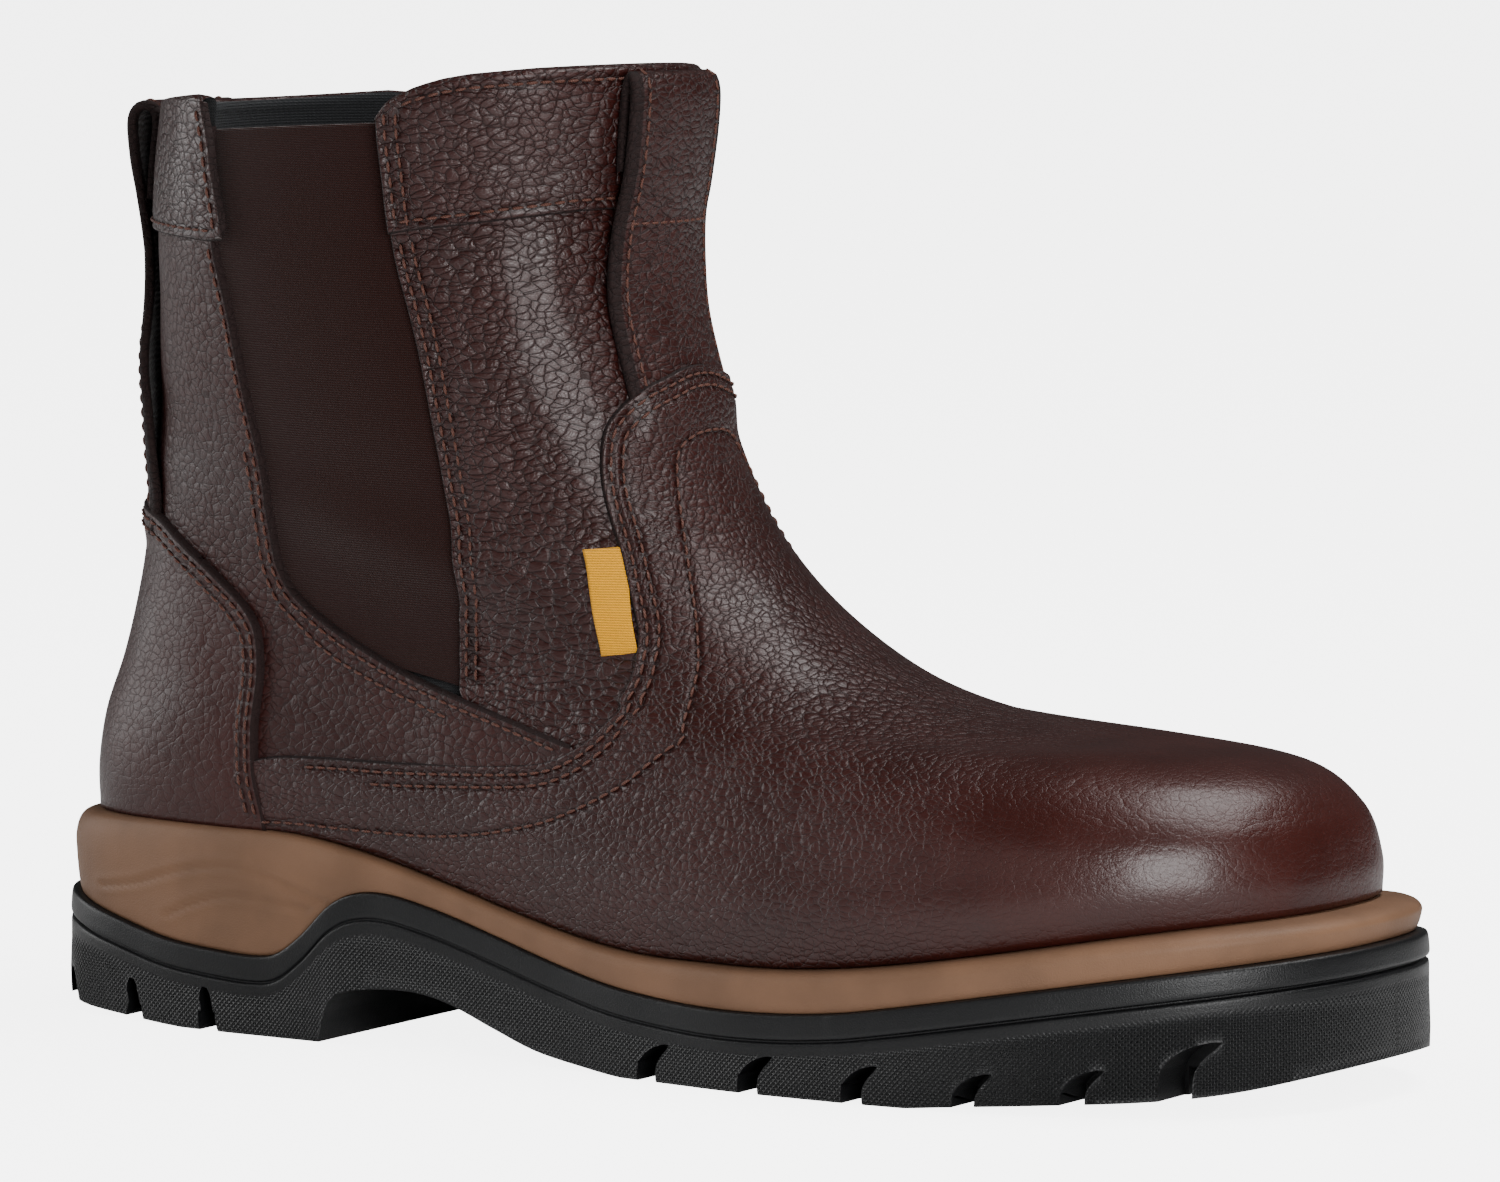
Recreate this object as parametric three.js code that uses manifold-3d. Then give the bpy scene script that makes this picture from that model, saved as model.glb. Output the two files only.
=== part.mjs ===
// A pull-on work boot for the right foot: a hollow leather upper with elastic side panels, pull
// straps at front and back, a moulded midsole and a lugged rubber outsole.
// Millimetres, +X to the toe, -Y to the outer side, +Z up.
import * as THREE from 'three';
import Module from 'manifold-3d';

const wasm = await Module();
wasm.setup();

// Plan of the foot
const LAST_LENGTH = 289;
const BALL_WIDTH = 101;
const HEEL_WIDTH = 69;
const TOE_SWING = 7;
const INNER_ARCH = 9;
const OUTER_ARCH = 2;

// Shaft
const SHAFT_WIDTH = 88;
const SHAFT_DEPTH = 115;
const SHAFT_HEIGHT = 199.5;
const COLLAR_BACK = 188;
const COLLAR_TILT = 2.2;

// Heights of the upper's lower edge above the floor, and of the toe above that
const HEEL_SEAT = 42;
const BALL_SEAT = 24.8;
const TOE_SEAT = 39;
const TOE_BOX = 31.8;

// Leather, elastic and straps
const WALL = 2.4;
const GAP = 0.3;
const SEAT_GAP = 0.45;
const VAMP_STEP = 1.2;
const COUNTER_THICKNESS = 1.2;
const BAND_THICKNESS = 1;
const GORE_RECESS = 0.9;
const LABEL_THICKNESS = 0.7;
const STRAP_THICKNESS = 1.8;
const STRAP_WIDTH = 34;
const STRAP_NECK_WIDTH = 28;
const STRAP_NECK_FROM = 1.5;

// Sole
const SOLE_MARGIN = 9;
const MIDSOLE_HEEL = 24.5;
const INSOLE_THICKNESS = 4;
const LIP_HEIGHT = 5;
const LUG_GROOVE_DEPTH = 4;
const LUG_GROOVE_WIDTH = 4.5;
const SLOT_HEIGHT = 10;
const SLOT_DEPTH = 9;
const SLOT_WIDTH = 8;
const SLOT_LEAN = 4;
const TOE_SPRING = 13.4;
const SPRING_FROM = 0.82;
const SPRING_OVER = 0.3;

// Shares of LAST_LENGTH at which the seat starts and stops falling, then rising, and how long that takes
const FALL_FROM = 0.2;
const FALL_OVER = 0.36;
const CLIMB_FROM = 0.62;
const CLIMB_OVER = 0.43;

// Where the waist lies between the widest point and the heel, how long it is, and where the heel's
// own width has taken over
const WAIST_PLACE = 0.42;
const WAIST_SPREAD = 0.26;
const HEEL_TAKEOVER = 0.75;

// Columns round each half of a section, small steps along it, and far outside every part
const STEP = 0.03;
const FRONT_COLUMNS = 12;
const BACK_COLUMNS = 16;
const SIDE_COLUMNS = FRONT_COLUMNS + BACK_COLUMNS;
const AROUND = 2 * SIDE_COLUMNS;
const FAR = 400;
const WELD = 0.001;

// Sections of the upper from the feather edge to the collar. Columns: front as shares of LAST_LENGTH
// and SHAFT_DEPTH, front height as shares of TOE_BOX and of the shaft above it, back as a share of
// SHAFT_DEPTH, back height from heel seat to collar, place of the widest point, widths as shares of
// BALL_WIDTH and SHAFT_WIDTH, how far the heel narrows, how far the section follows the seat, and the
// roundness of toe and heel.
const SECTIONS = [
  {
    ofLast: 0.997, ofShaft: 0.0, toeRise: 0.0, rise: 0.0, back: 0.045, backRise: 0.0, wide: 0.7,
    ball: 0.95, shaft: 0, heelWide: 1.0, heel: 1, seat: 1.0, toe: 2.5, round: 4,
  },
  {
    ofLast: 0.995, ofShaft: 0.0, toeRise: 0.25, rise: 0.0, back: 0.046, backRise: 0.065, wide: 0.7,
    ball: 1.0, shaft: 0, heelWide: 1.03, heel: 1, seat: 0.9, toe: 2.5, round: 4,
  },
  {
    ofLast: 0.983, ofShaft: 0.0, toeRise: 0.55, rise: 0.0, back: 0.054, backRise: 0.14, wide: 0.69,
    ball: 0.97, shaft: 0, heelWide: 1.04, heel: 1, seat: 0.75, toe: 2.5, round: 3.6,
  },
  {
    ofLast: 0.95, ofShaft: 0.0, toeRise: 0.81, rise: 0.0, back: 0.08, backRise: 0.215, wide: 0.66,
    ball: 0.88, shaft: 0, heelWide: 1.02, heel: 1, seat: 0.6, toe: 2.4, round: 3.2,
  },
  {
    ofLast: 0.875, ofShaft: 0.0, toeRise: 0.95, rise: 0.0, back: 0.1, backRise: 0.29, wide: 0.62,
    ball: 0.78, shaft: 0, heelWide: 0.99, heel: 0.97, seat: 0.45, toe: 2.3, round: 2.9,
  },
  {
    ofLast: 0.775, ofShaft: 0.0, toeRise: 1.0, rise: 0.0, back: 0.114, backRise: 0.365, wide: 0.57,
    ball: 0.71, shaft: 0, heelWide: 0.97, heel: 0.9, seat: 0.3, toe: 2.2, round: 2.6,
  },
  {
    ofLast: 0.68, ofShaft: 0.0, toeRise: 1.0, rise: 0.045, back: 0.124, backRise: 0.44, wide: 0.53,
    ball: 0.66, shaft: 0.04, heelWide: 0.98, heel: 0.75, seat: 0.18, toe: 2.2, round: 2.4,
  },
  {
    ofLast: 0.6, ofShaft: 0.0, toeRise: 1.0, rise: 0.13, back: 0.13, backRise: 0.515, wide: 0.5,
    ball: 0.5, shaft: 0.26, heelWide: 1.01, heel: 0.5, seat: 0.08, toe: 2.2, round: 2.2,
  },
  {
    ofLast: 0.28, ofShaft: 0.66, toeRise: 1.0, rise: 0.24, back: 0.14, backRise: 0.585, wide: 0.5,
    ball: 0.24, shaft: 0.56, heelWide: 1.06, heel: 0.2, seat: 0.0, toe: 2.2, round: 2.2,
  },
  {
    ofLast: 0.08, ofShaft: 1.068, toeRise: 1.0, rise: 0.375, back: 0.148, backRise: 0.66, wide: 0.5,
    ball: 0.08, shaft: 0.8, heelWide: 1.1, heel: 0, seat: 0.0, toe: 2.2, round: 2.2,
  },
  {
    ofLast: 0.0, ofShaft: 1.205, toeRise: 1.0, rise: 0.525, back: 0.157, backRise: 0.74, wide: 0.5,
    ball: 0, shaft: 0.94, heelWide: 1.2, heel: 0, seat: 0.0, toe: 2.2, round: 2.2,
  },
  {
    ofLast: 0.0, ofShaft: 1.155, toeRise: 1.0, rise: 0.68, back: 0.16, backRise: 0.825, wide: 0.5,
    ball: 0, shaft: 0.97, heelWide: 1.2, heel: 0, seat: 0.0, toe: 2.2, round: 2.2,
  },
  {
    ofLast: 0.0, ofShaft: 1.15, toeRise: 1.0, rise: 0.84, back: 0.168, backRise: 0.915, wide: 0.5,
    ball: 0, shaft: 0.98, heelWide: 1.2, heel: 0, seat: 0.0, toe: 2.2, round: 2.2,
  },
  {
    ofLast: 0.0, ofShaft: 1.16, toeRise: 1.0, rise: 1.0, back: 0.185, backRise: 1.0, wide: 0.5,
    ball: 0, shaft: 1.0, heelWide: 1.2, heel: 0, seat: 0.0, toe: 2.2, round: 2.2,
  },
];
const LAST_SECTION = SECTIONS.length - 1;
const SHAFT_START = 9;
const VAMP_START = 0.03;
const COUNTER_TOP = 7;
const BAND_START = 10;

const mix = (a, b, t) => a + (b - a) * t;
const clamp01 = (t) => Math.min(1, Math.max(0, t));
const smooth = (t) => clamp01(t) ** 2 * (3 - 2 * clamp01(t));

// A value of one column at section number v, by a curve through the four nearest rows.
function column(name, v) {
  const row = (i) => {
    if (i < 0) return 2 * SECTIONS[0][name] - SECTIONS[1][name];
    if (i > LAST_SECTION) return 2 * SECTIONS[LAST_SECTION][name] - SECTIONS[LAST_SECTION - 1][name];
    return SECTIONS[i][name];
  };
  const i = Math.min(Math.floor(Math.max(v, 0)), LAST_SECTION - 1);
  const t = v - i;
  const [a, b, c, d] = [row(i - 1), row(i), row(i + 1), row(i + 2)];
  if (t > 1) return c + (c - b) * (t - 1);
  return b + 0.5 * t * (c - a + t * (2 * a - 5 * b + 4 * c - d + t * (3 * (b - c) + d - a)));
}

// Height of the feather edge at x: level heel seat, down through the waist, up again to the toe.
function seatHeight(x) {
  const share = x / LAST_LENGTH;
  const heelToBall = mix(HEEL_SEAT, BALL_SEAT, smooth((share - FALL_FROM) / FALL_OVER));
  return mix(heelToBall, TOE_SEAT, smooth((share - CLIMB_FROM) / CLIMB_OVER));
}

// A point of the upper at angle theta (0 front, 90 degrees outer side) and section number v.
function surface(theta, v) {
  const at = (name) => column(name, v);
  const front = at('ofLast') * LAST_LENGTH + at('ofShaft') * SHAFT_DEPTH;
  const back = at('back') * SHAFT_DEPTH;
  const toeTop = TOE_SEAT + TOE_BOX * at('toeRise');
  const frontHeight = toeTop + (SHAFT_HEIGHT - TOE_SEAT - TOE_BOX) * at('rise');
  const backHeight = mix(HEEL_SEAT, COLLAR_BACK, at('backRise'));
  const widest = mix(back, front, at('wide'));
  const half = (BALL_WIDTH * at('ball') + SHAFT_WIDTH * at('shaft')) / 2;
  const heelHalf = mix(half, (HEEL_WIDTH / 2) * at('heelWide'), at('heel'));
  const u = Math.cos(theta);
  const s = Math.sin(theta);
  const power = u > 0 ? at('toe') : at('round');
  const x = u > 0 ? mix(widest, front, u) : mix(widest, back, -u);
  const waist = Math.exp(-(((u + WAIST_PLACE) / WAIST_SPREAD) ** 2));
  const arch = (s > 0 ? OUTER_ARCH : INNER_ARCH) * at('seat') * waist;
  const full = u > 0 ? half : mix(half, heelHalf, smooth(-u / HEEL_TAKEOVER)) - arch;
  const width = full * (1 - Math.abs(u) ** power) ** (1 / power);
  const past = Math.max(0, (x / LAST_LENGTH - CLIMB_FROM) / (1 - CLIMB_FROM));
  const centre = TOE_SWING * past ** 2;
  const level = mix(backHeight, frontHeight, (x - back) / (front - back));
  const straightSeat = mix(HEEL_SEAT, TOE_SEAT, x / LAST_LENGTH);
  const tilt = COLLAR_TILT * Math.sign(s) * (width / half) * Math.max(0, at('rise')) ** 2;
  const z = level + tilt + at('seat') * (seatHeight(x) - straightSeat);
  return new THREE.Vector3(x, centre - Math.sign(s) * width, z);
}

// Angle at which section v of the shaft is this far from its middle line.
function angleAcross(across, v, atBack) {
  const power = column(atBack ? 'round' : 'toe', v);
  const half = (BALL_WIDTH * column('ball', v) + SHAFT_WIDTH * column('shaft', v)) / 2;
  return Math.sign(across) * Math.acos((1 - (Math.abs(across) / half) ** power) ** (1 / power));
}

// The same point moved outwards by offset along the surface's normal.
function offsetSurface(theta, v, offset) {
  const round = surface(theta + STEP, v).sub(surface(theta - STEP, v));
  const up = surface(theta, v + STEP).sub(surface(theta, Math.max(v - STEP, 0)));
  const normal = up.cross(round).normalize();
  return surface(theta, v).addScaledVector(normal, offset);
}

// Angle of one column: the front and the back half of a section have their own spacing, and columns
// i and AROUND - i mirror each other.
function angleOf(i) {
  if (i > SIDE_COLUMNS) return 2 * Math.PI - angleOf(AROUND - i);
  if (i <= FRONT_COLUMNS) return (Math.PI / 2) * (i / FRONT_COLUMNS);
  return (Math.PI / 2) * (1 + (i - FRONT_COLUMNS) / BACK_COLUMNS);
}
const ANGLES = Array.from({ length: AROUND }, (unused, i) => angleOf(i));

// A closed ring of points round the upper.
const ringOf = (v, offset) => ANGLES.map((theta) => offsetSurface(theta, v, offset));

// Triangles between neighbouring rings of equal length.
function sides(rings, closed) {
  const triangles = [];
  const count = rings[0].length;
  const last = closed ? rings.length : rings.length - 1;
  for (let r = 0; r < last; r += 1) {
    const here = r * count;
    const next = ((r + 1) % rings.length) * count;
    for (let i = 0; i < count; i += 1) {
      const j = (i + 1) % count;
      triangles.push([here + i, next + j, next + i], [here + i, here + j, next + j]);
    }
  }
  return triangles;
}

// A cap across one ring, as a ladder between its mirrored points.
function cap(first, count, reversed) {
  const triangles = [];
  for (let i = 0; i < count / 2; i += 1) {
    const [a, b] = [first + i, first + i + 1];
    const [c, d] = [first + ((count - i - 1) % count), first + ((count - i) % count)];
    if (b !== c) triangles.push([a, b, c]);
    if (d !== a) triangles.push([a, c, d]);
  }
  return reversed ? triangles.map(([a, b, c]) => [a, c, b]) : triangles;
}

// A solid from points and triangles, turned to face outwards.
function solidFrom(points, triangles) {
  const vertProperties = new Float32Array(points.flatMap((p) => [p.x, p.y, p.z]));
  const make = (list) => {
    const triVerts = new Uint32Array(list.flat());
    return new wasm.Manifold(new wasm.Mesh({ numProp: 3, vertProperties, triVerts }));
  };
  const solid = make(triangles);
  return solid.volume() > 0 ? solid : make(triangles.map(([a, b, c]) => [a, c, b]));
}

// A closed body between stacked rings, capped below and above.
function stack(rings) {
  const count = rings[0].length;
  const triangles = [
    ...sides(rings, false),
    ...cap(0, count, true),
    ...cap((rings.length - 1) * count, count, false),
  ];
  return solidFrom(rings.flat(), triangles);
}

// Section numbers from one to another: halves up to the shaft, whole numbers above it.
function fineRows(from, to) {
  const rows = [];
  for (let v = from; v < to; v += v < SHAFT_START ? 0.5 : 1) rows.push(v);
  return [...rows, to];
}

// Whole section numbers from one to another.
function coarseRows(from, to) {
  const rows = [];
  for (let v = from; v < to; v += 1) rows.push(v);
  return [...rows, to];
}

// A wall of the upper between two offsets; the outer and inner faces have their own rows.
function wall(inner, outer, outerRows, innerRows) {
  const rings = outerRows.map((v) => ringOf(v, outer));
  rings.push(...[...innerRows].reverse().map((v) => ringOf(v, inner)));
  return solidFrom(rings.flat(), sides(rings, true));
}

// An outline in the side view, swept across the boot between two sides.
function slab(outline, from = -FAR, to = FAR) {
  const faces = THREE.ShapeUtils.triangulateShape(outline, []);
  const count = outline.length;
  const points = [from, to].flatMap((y) => outline.map((p) => new THREE.Vector3(p.x, y, p.y)));
  const triangles = faces.flatMap(([a, b, c]) => [[a, b, c], [a + count, c + count, b + count]]);
  const around = THREE.ShapeUtils.area(outline) > 0;
  for (let i = 0; i < count; i += 1) {
    const j = (i + 1) % count;
    const [a, b] = around ? [j, i] : [i, j];
    triangles.push([a, b, b + count], [a, b + count, a + count]);
  }
  return solidFrom(points, triangles);
}

// An outline moved outwards by a distance.
function grow(outline, distance) {
  const sign = THREE.ShapeUtils.area(outline) > 0 ? 1 : -1;
  const count = outline.length;
  return outline.map((p, i) => {
    const before = p.clone().sub(outline[(i + count - 1) % count]).normalize();
    const after = outline[(i + 1) % count].clone().sub(p).normalize();
    const turn = new THREE.Vector2(before.y + after.y, -before.x - after.x).normalize();
    const lean = Math.max(0.4, turn.dot(new THREE.Vector2(before.y, -before.x)));
    return p.clone().addScaledVector(turn, (sign * distance) / lean);
  });
}

// Side-view points from shares of a length along the boot and of SHAFT_HEIGHT.
const sidePoints = (length, rows) =>
  rows.map(([along, up]) => new THREE.Vector2(along * length, up * SHAFT_HEIGHT));

// The same points rounded into a curve with a number of pieces.
const sideCurve = (length, count, rows) =>
  new THREE.SplineCurve(sidePoints(length, rows)).getPoints(count);

// A named solid with its colour and gloss, kept until the whole is placed.
const pieces = [];
const add = (name, solid, color, roughness) => pieces.push({ name, solid, color, roughness });

// Welded triangles of a solid, moved by a shift, without those that close up to a line.
function geometryOf(solid, shift) {
  const { vertProperties, triVerts } = solid.getMesh();
  const known = new Map();
  const points = [];
  const welded = [];
  for (let i = 0; i < vertProperties.length; i += 3) {
    const place = [0, 1, 2].map((k) => Math.round((vertProperties[i + k] + shift[k]) / WELD) * WELD);
    const key = place.map((value) => value.toFixed(3)).join();
    if (!known.has(key)) {
      known.set(key, known.size);
      points.push(...place);
    }
    welded.push(known.get(key));
  }
  const index = [];
  for (let t = 0; t < triVerts.length; t += 3) {
    const [a, b, c] = [0, 1, 2].map((k) => welded[triVerts[t + k]]);
    if (a !== b && b !== c && c !== a) index.push(a, b, c);
  }
  const geometry = new THREE.BufferGeometry();
  geometry.setAttribute('position', new THREE.Float32BufferAttribute(points, 3));
  geometry.setIndex(index);
  geometry.computeVertexNormals();
  return geometry;
}

// Side-view outlines of the pieces of the upper, as shares of a length and of SHAFT_HEIGHT
const goreFront = sideCurve(SHAFT_DEPTH, 4, [
  [0.806, 0.937], [0.858, 0.719], [0.896, 0.483], [0.93, 0.366],
]);
const goreBack = sideCurve(SHAFT_DEPTH, 14, [
  [0.93, 0.366], [0.732, 0.391], [0.65, 0.42], [0.53, 0.446], [0.476, 0.48], [0.477, 0.53],
  [0.48, 0.6], [0.477, 0.75], [0.466, 0.821], [0.436, 0.937],
]).slice(1);
const goreOutline = [...goreFront, ...goreBack];
const goreOpening = sidePoints(SHAFT_DEPTH, [
  [0.43, 0.93], [0.435, 1.1], [1.0, 1.1], [0.9, 0.99], [0.83, 0.977], [0.796, 0.96], [0.802, 0.93],
]);
const vampEdge = sideCurve(LAST_LENGTH, 24, [
  [0.56, 0.697], [0.486, 0.692], [0.471, 0.67], [0.467, 0.61], [0.485, 0.525], [0.508, 0.453],
  [0.514, 0.395], [0.503, 0.349], [0.465, 0.321], [0.405, 0.3], [0.3, 0.286], [0.1, 0.266],
]);
const aroundToe = sidePoints(LAST_LENGTH, [[0.1, -0.1], [1.3, -0.1], [1.3, 0.7]]);
const vampOutline = [...vampEdge, ...aroundToe];
const counterEdge = sideCurve(SHAFT_DEPTH, 12, [
  [0.02, 0.562], [0.157, 0.523], [0.258, 0.497], [0.384, 0.448], [0.455, 0.39], [0.48, 0.32], [0.5, 0.263],
  [0.518, 0.2],
]);
const behindHeel = sidePoints(SHAFT_DEPTH, [[0.518, -0.1], [-0.5, -0.1], [-0.5, 0.6]]);
const counterOutline = [...counterEdge, ...behindHeel];
const bandLine = [[-0.5, 0.82], [0.5, 0.818], [0.805, 0.834], [1.138, 0.858], [1.6, 0.875]];
const bandOutline = sidePoints(SHAFT_DEPTH, [...bandLine, [1.6, 1.2], [-0.5, 1.2]]);
const labelOutline = sidePoints(LAST_LENGTH, [
  [0.459, 0.521], [0.492, 0.524], [0.52, 0.419], [0.479, 0.415],
]);

const goreWindow = slab(grow(goreOutline, GAP)).add(slab(goreOpening));
const vampBlock = slab(vampOutline);
const vampRoom = slab(grow(vampOutline, GAP));
const counterRoom = slab(grow(counterOutline, GAP));

// Upper: one hollow wall, open at the collar and underneath, with the vamp as a raised step
const upperRows = fineRows(0, LAST_SECTION);
const body = wall(-WALL, 0, upperRows, coarseRows(0, LAST_SECTION));
const vampRows = [VAMP_START, ...fineRows(0.5, SHAFT_START + 3)];
const vampShell = wall(-WALL / 2, VAMP_STEP, vampRows, vampRows);
const vamp = vampShell.intersect(vampBlock).subtract(counterRoom);
add('upper', body.add(vamp).subtract(goreWindow), 0x3a2420, 0.5);

// Elastic panels, set back in their windows
const goreRows = [4, 6, 8, BAND_START, LAST_SECTION];
const gores = wall(-WALL, -GORE_RECESS, goreRows, goreRows);
add('gore_lateral', gores.intersect(slab(goreOutline, -FAR, 0)), 0x32201a, 0.9);
add('gore_medial', gores.intersect(slab(goreOutline, 0, FAR)), 0x32201a, 0.9);

// Leather laid over the upper: heel counter and the two halves of the collar band
const overlay = (thickness, outerRows, innerRows) => wall(GAP, GAP + thickness, outerRows, innerRows);
const counterShell = overlay(COUNTER_THICKNESS, coarseRows(0, COUNTER_TOP), fineRows(0, COUNTER_TOP));
add('counter', counterShell.intersect(slab(counterOutline)), 0x3a2420, 0.5);
const bandRows = coarseRows(BAND_START, LAST_SECTION);
const bandShell = overlay(BAND_THICKNESS, bandRows, bandRows);
const bands = bandShell.intersect(slab(bandOutline)).subtract(goreWindow);
const frontHalf = slab(sidePoints(SHAFT_DEPTH, [[0.62, -0.1], [2, -0.1], [2, 1.5], [0.62, 1.5]]));
add('collar_band_front', bands.intersect(frontHalf), 0x3a2420, 0.5);
add('collar_band_back', bands.subtract(frontHalf), 0x3a2420, 0.5);

// Pull straps: above the stitch line each stands off the shaft as a loop, folds over at the height of
// the collar and comes down again against the collar band.
// Path rows: height from the collar and distance from the leather, in shares of STRAP_WIDTH.
function strap(atBack, path) {
  const middle = atBack ? Math.PI : 0;
  const rise = surface(middle, LAST_SECTION).z - surface(middle, LAST_SECTION - 1).z;
  const line = path.map(([up, off]) => new THREE.Vector2(up, off).multiplyScalar(STRAP_WIDTH));
  const rows = new THREE.SplineCurve(line).getPoints(2 * line.length);
  const across = [-1, -0.75, -0.25, 0.25, 0.75, 1, 0.75, 0.25, -0.25, -0.75];
  const rings = rows.map((p, i) => {
    const along = rows[Math.min(i + 1, rows.length - 1)].clone().sub(rows[Math.max(i - 1, 0)]).normalize();
    const neck = smooth(p.x / STRAP_WIDTH + STRAP_NECK_FROM);
    const half = mix(STRAP_WIDTH, STRAP_NECK_WIDTH, neck) / 2;
    return across.map((share, k) => {
      const side = k === 0 || k === 5 ? 0 : Math.sign(5 - k) * (STRAP_THICKNESS / 2);
      const up = p.x - along.y * side;
      const off = p.y + along.x * side;
      const v = LAST_SECTION + up / rise;
      const angle = angleAcross(share * half, v, atBack);
      return offsetSurface(atBack ? Math.PI - angle : angle, v, off);
    });
  });
  return stack(rings);
}
const frontPath = [
  [-1.95, 0.05], [-1.2, 0.05], [-0.88, 0.088], [-0.7, 0.13], [-0.5, 0.176], [-0.29, 0.206], [-0.12, 0.19],
  [-0.056, 0.145], [-0.1, 0.105], [-0.24, 0.084], [-0.6, 0.08],
];
add('pull_strap_front', strap(false, frontPath).subtract(vampRoom), 0x3a2420, 0.5);
const backPath = [
  [-2.5, 0.05], [-2.2, 0.06], [-1.6, 0.1], [-1.2, 0.08], [-0.92, 0.078], [-0.76, 0.095], [-0.53, 0.148],
  [-0.33, 0.205], [-0.13, 0.245], [-0.04, 0.2], [-0.05, 0.12], [-0.16, 0.084], [-0.56, 0.08],
];
add('pull_strap_back', strap(true, backPath).subtract(counterRoom), 0x3a2420, 0.5);

// Woven side label, left bare
const labelRows = coarseRows(4, SHAFT_START + 2);
const labelShell = overlay(LABEL_THICKNESS, labelRows, labelRows);
add('side_label', labelShell.intersect(slab(labelOutline, -FAR, 0)).subtract(vampRoom), 0xf0b323, 0.8);

// A ring at the upper's lower edge, moved outwards in plan, with its height from a function of x.
function soleRing(outward, height) {
  return ANGLES.map((theta) => {
    const here = surface(theta, 0);
    const along = surface(theta + STEP, 0).sub(surface(theta - STEP, 0)).setZ(0).normalize();
    const x = here.x - along.y * outward(here.x);
    const y = here.y + along.x * outward(here.x);
    return new THREE.Vector3(x, y, height(here.x));
  });
}

// Values along the foot: place as a share of LAST_LENGTH, then how far the sole stands out as a share
// of SOLE_MARGIN and how thick the midsole is as a share of MIDSOLE_HEEL.
const SOLE_LINE = [
  { along: 0, margin: 0.9, midsole: 0.92 },
  { along: 0.1, margin: 0.62, midsole: 0.94 },
  { along: 0.18, margin: 0.6, midsole: 1 },
  { along: 0.215, margin: 0.58, midsole: 0.84 },
  { along: 0.255, margin: 0.55, midsole: 0.46 },
  { along: 0.31, margin: 0.46, midsole: 0.34 },
  { along: 0.38, margin: 0.42, midsole: 0.25 },
  { along: 0.46, margin: 0.42, midsole: 0.25 },
  { along: 0.54, margin: 0.52, midsole: 0.31 },
  { along: 0.64, margin: 0.64, midsole: 0.35 },
  { along: 0.86, margin: 0.84, midsole: 0.35 },
  { along: 1, margin: 1.2, midsole: 0.27 },
];

// One column of the sole's table at x.
function soleLine(name, x) {
  const share = clamp01(x / LAST_LENGTH);
  const i = Math.max(1, SOLE_LINE.findIndex((row) => row.along >= share));
  const [a, b] = [SOLE_LINE[i - 1], SOLE_LINE[i]];
  return mix(a[name], b[name], smooth((share - a.along) / (b.along - a.along)));
}
const margin = (share) => (x) => share * SOLE_MARGIN * soleLine('margin', x);
const midsoleTop = (x) => seatHeight(x) - SEAT_GAP;
const midsoleBottom = (x) => seatHeight(x) - MIDSOLE_HEEL * soleLine('midsole', x);

// Insole, lying on the midsole inside the upper
const insoleRoom = () => -WALL - 2 * GAP;
const insoleTop = (x) => seatHeight(x) + INSOLE_THICKNESS;
add('insole', stack([soleRing(insoleRoom, seatHeight), soleRing(insoleRoom, insoleTop)]), 0x3a3d3f, 0.9);

// Midsole: rows of how far it stands out and how far down its side they are
const midsoleRows = [[0.35, 0], [0.62, 0.12], [0.85, 0.5], [0.72, 1]];
const midsoleRings = midsoleRows.map(([out, down]) =>
  soleRing(margin(out), (x) => mix(midsoleTop(x), midsoleBottom(x), down)),
);
add('midsole', stack(midsoleRings), 0x7d604a, 0.7);

// Outsole: a lip below the midsole, a groove, and the wall down to the floor
const lipRows = [[0.75, 0], [1, 0.3], [1, 1], [0.82, 1.3], [0.96, 1.7]];
const outsoleRings = lipRows.map(([out, down]) =>
  soleRing(margin(out), (x) => midsoleBottom(x) - GAP - down * LIP_HEIGHT),
);
const lowest = lipRows[lipRows.length - 1][1] * LIP_HEIGHT + GAP;
outsoleRings.push(soleRing(margin(1.03), (x) => (midsoleBottom(x) - lowest) / 2));
outsoleRings.push(soleRing(margin(0.97), () => 0));

// What the floor side loses, as shares of LAST_LENGTH and HEEL_SEAT: heel edge, arch and toe spring
const underPoints = (rows) =>
  rows.map(([along, up]) => new THREE.Vector2(along * LAST_LENGTH, up * HEEL_SEAT));
const underCurve = (pieces, rows) => new THREE.SplineCurve(underPoints(rows)).getPoints(pieces);
const springCurve = underCurve(7, [
  [0.75, -0.01], [0.8, 0.022], [0.86, 0.05], [0.93, 0.08], [0.98, 0.12], [1.03, 0.2], [1.15, 0.42],
]);
const heelCurve = underCurve(5, [[-0.1, 0.3], [-0.02, 0.14], [0.02, 0.06], [0.07, 0.03], [0.14, -0.005]]);
const archCurve = underCurve(12, [
  [0.252, -0.02], [0.262, 0.2], [0.276, 0.262], [0.31, 0.29], [0.34, 0.29], [0.37, 0.25], [0.41, 0.155],
  [0.45, 0.07], [0.5, 0.02], [0.54, -0.01],
]);
const below = underPoints([[1.15, -0.5], [-0.1, -0.5]]);
const cutters = [
  slab([...springCurve, below[0], new THREE.Vector2(springCurve[0].x, below[0].y)]),
  slab([...heelCurve, new THREE.Vector2(heelCurve[heelCurve.length - 1].x, below[1].y), below[1]]),
  slab(archCurve),
];

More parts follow.
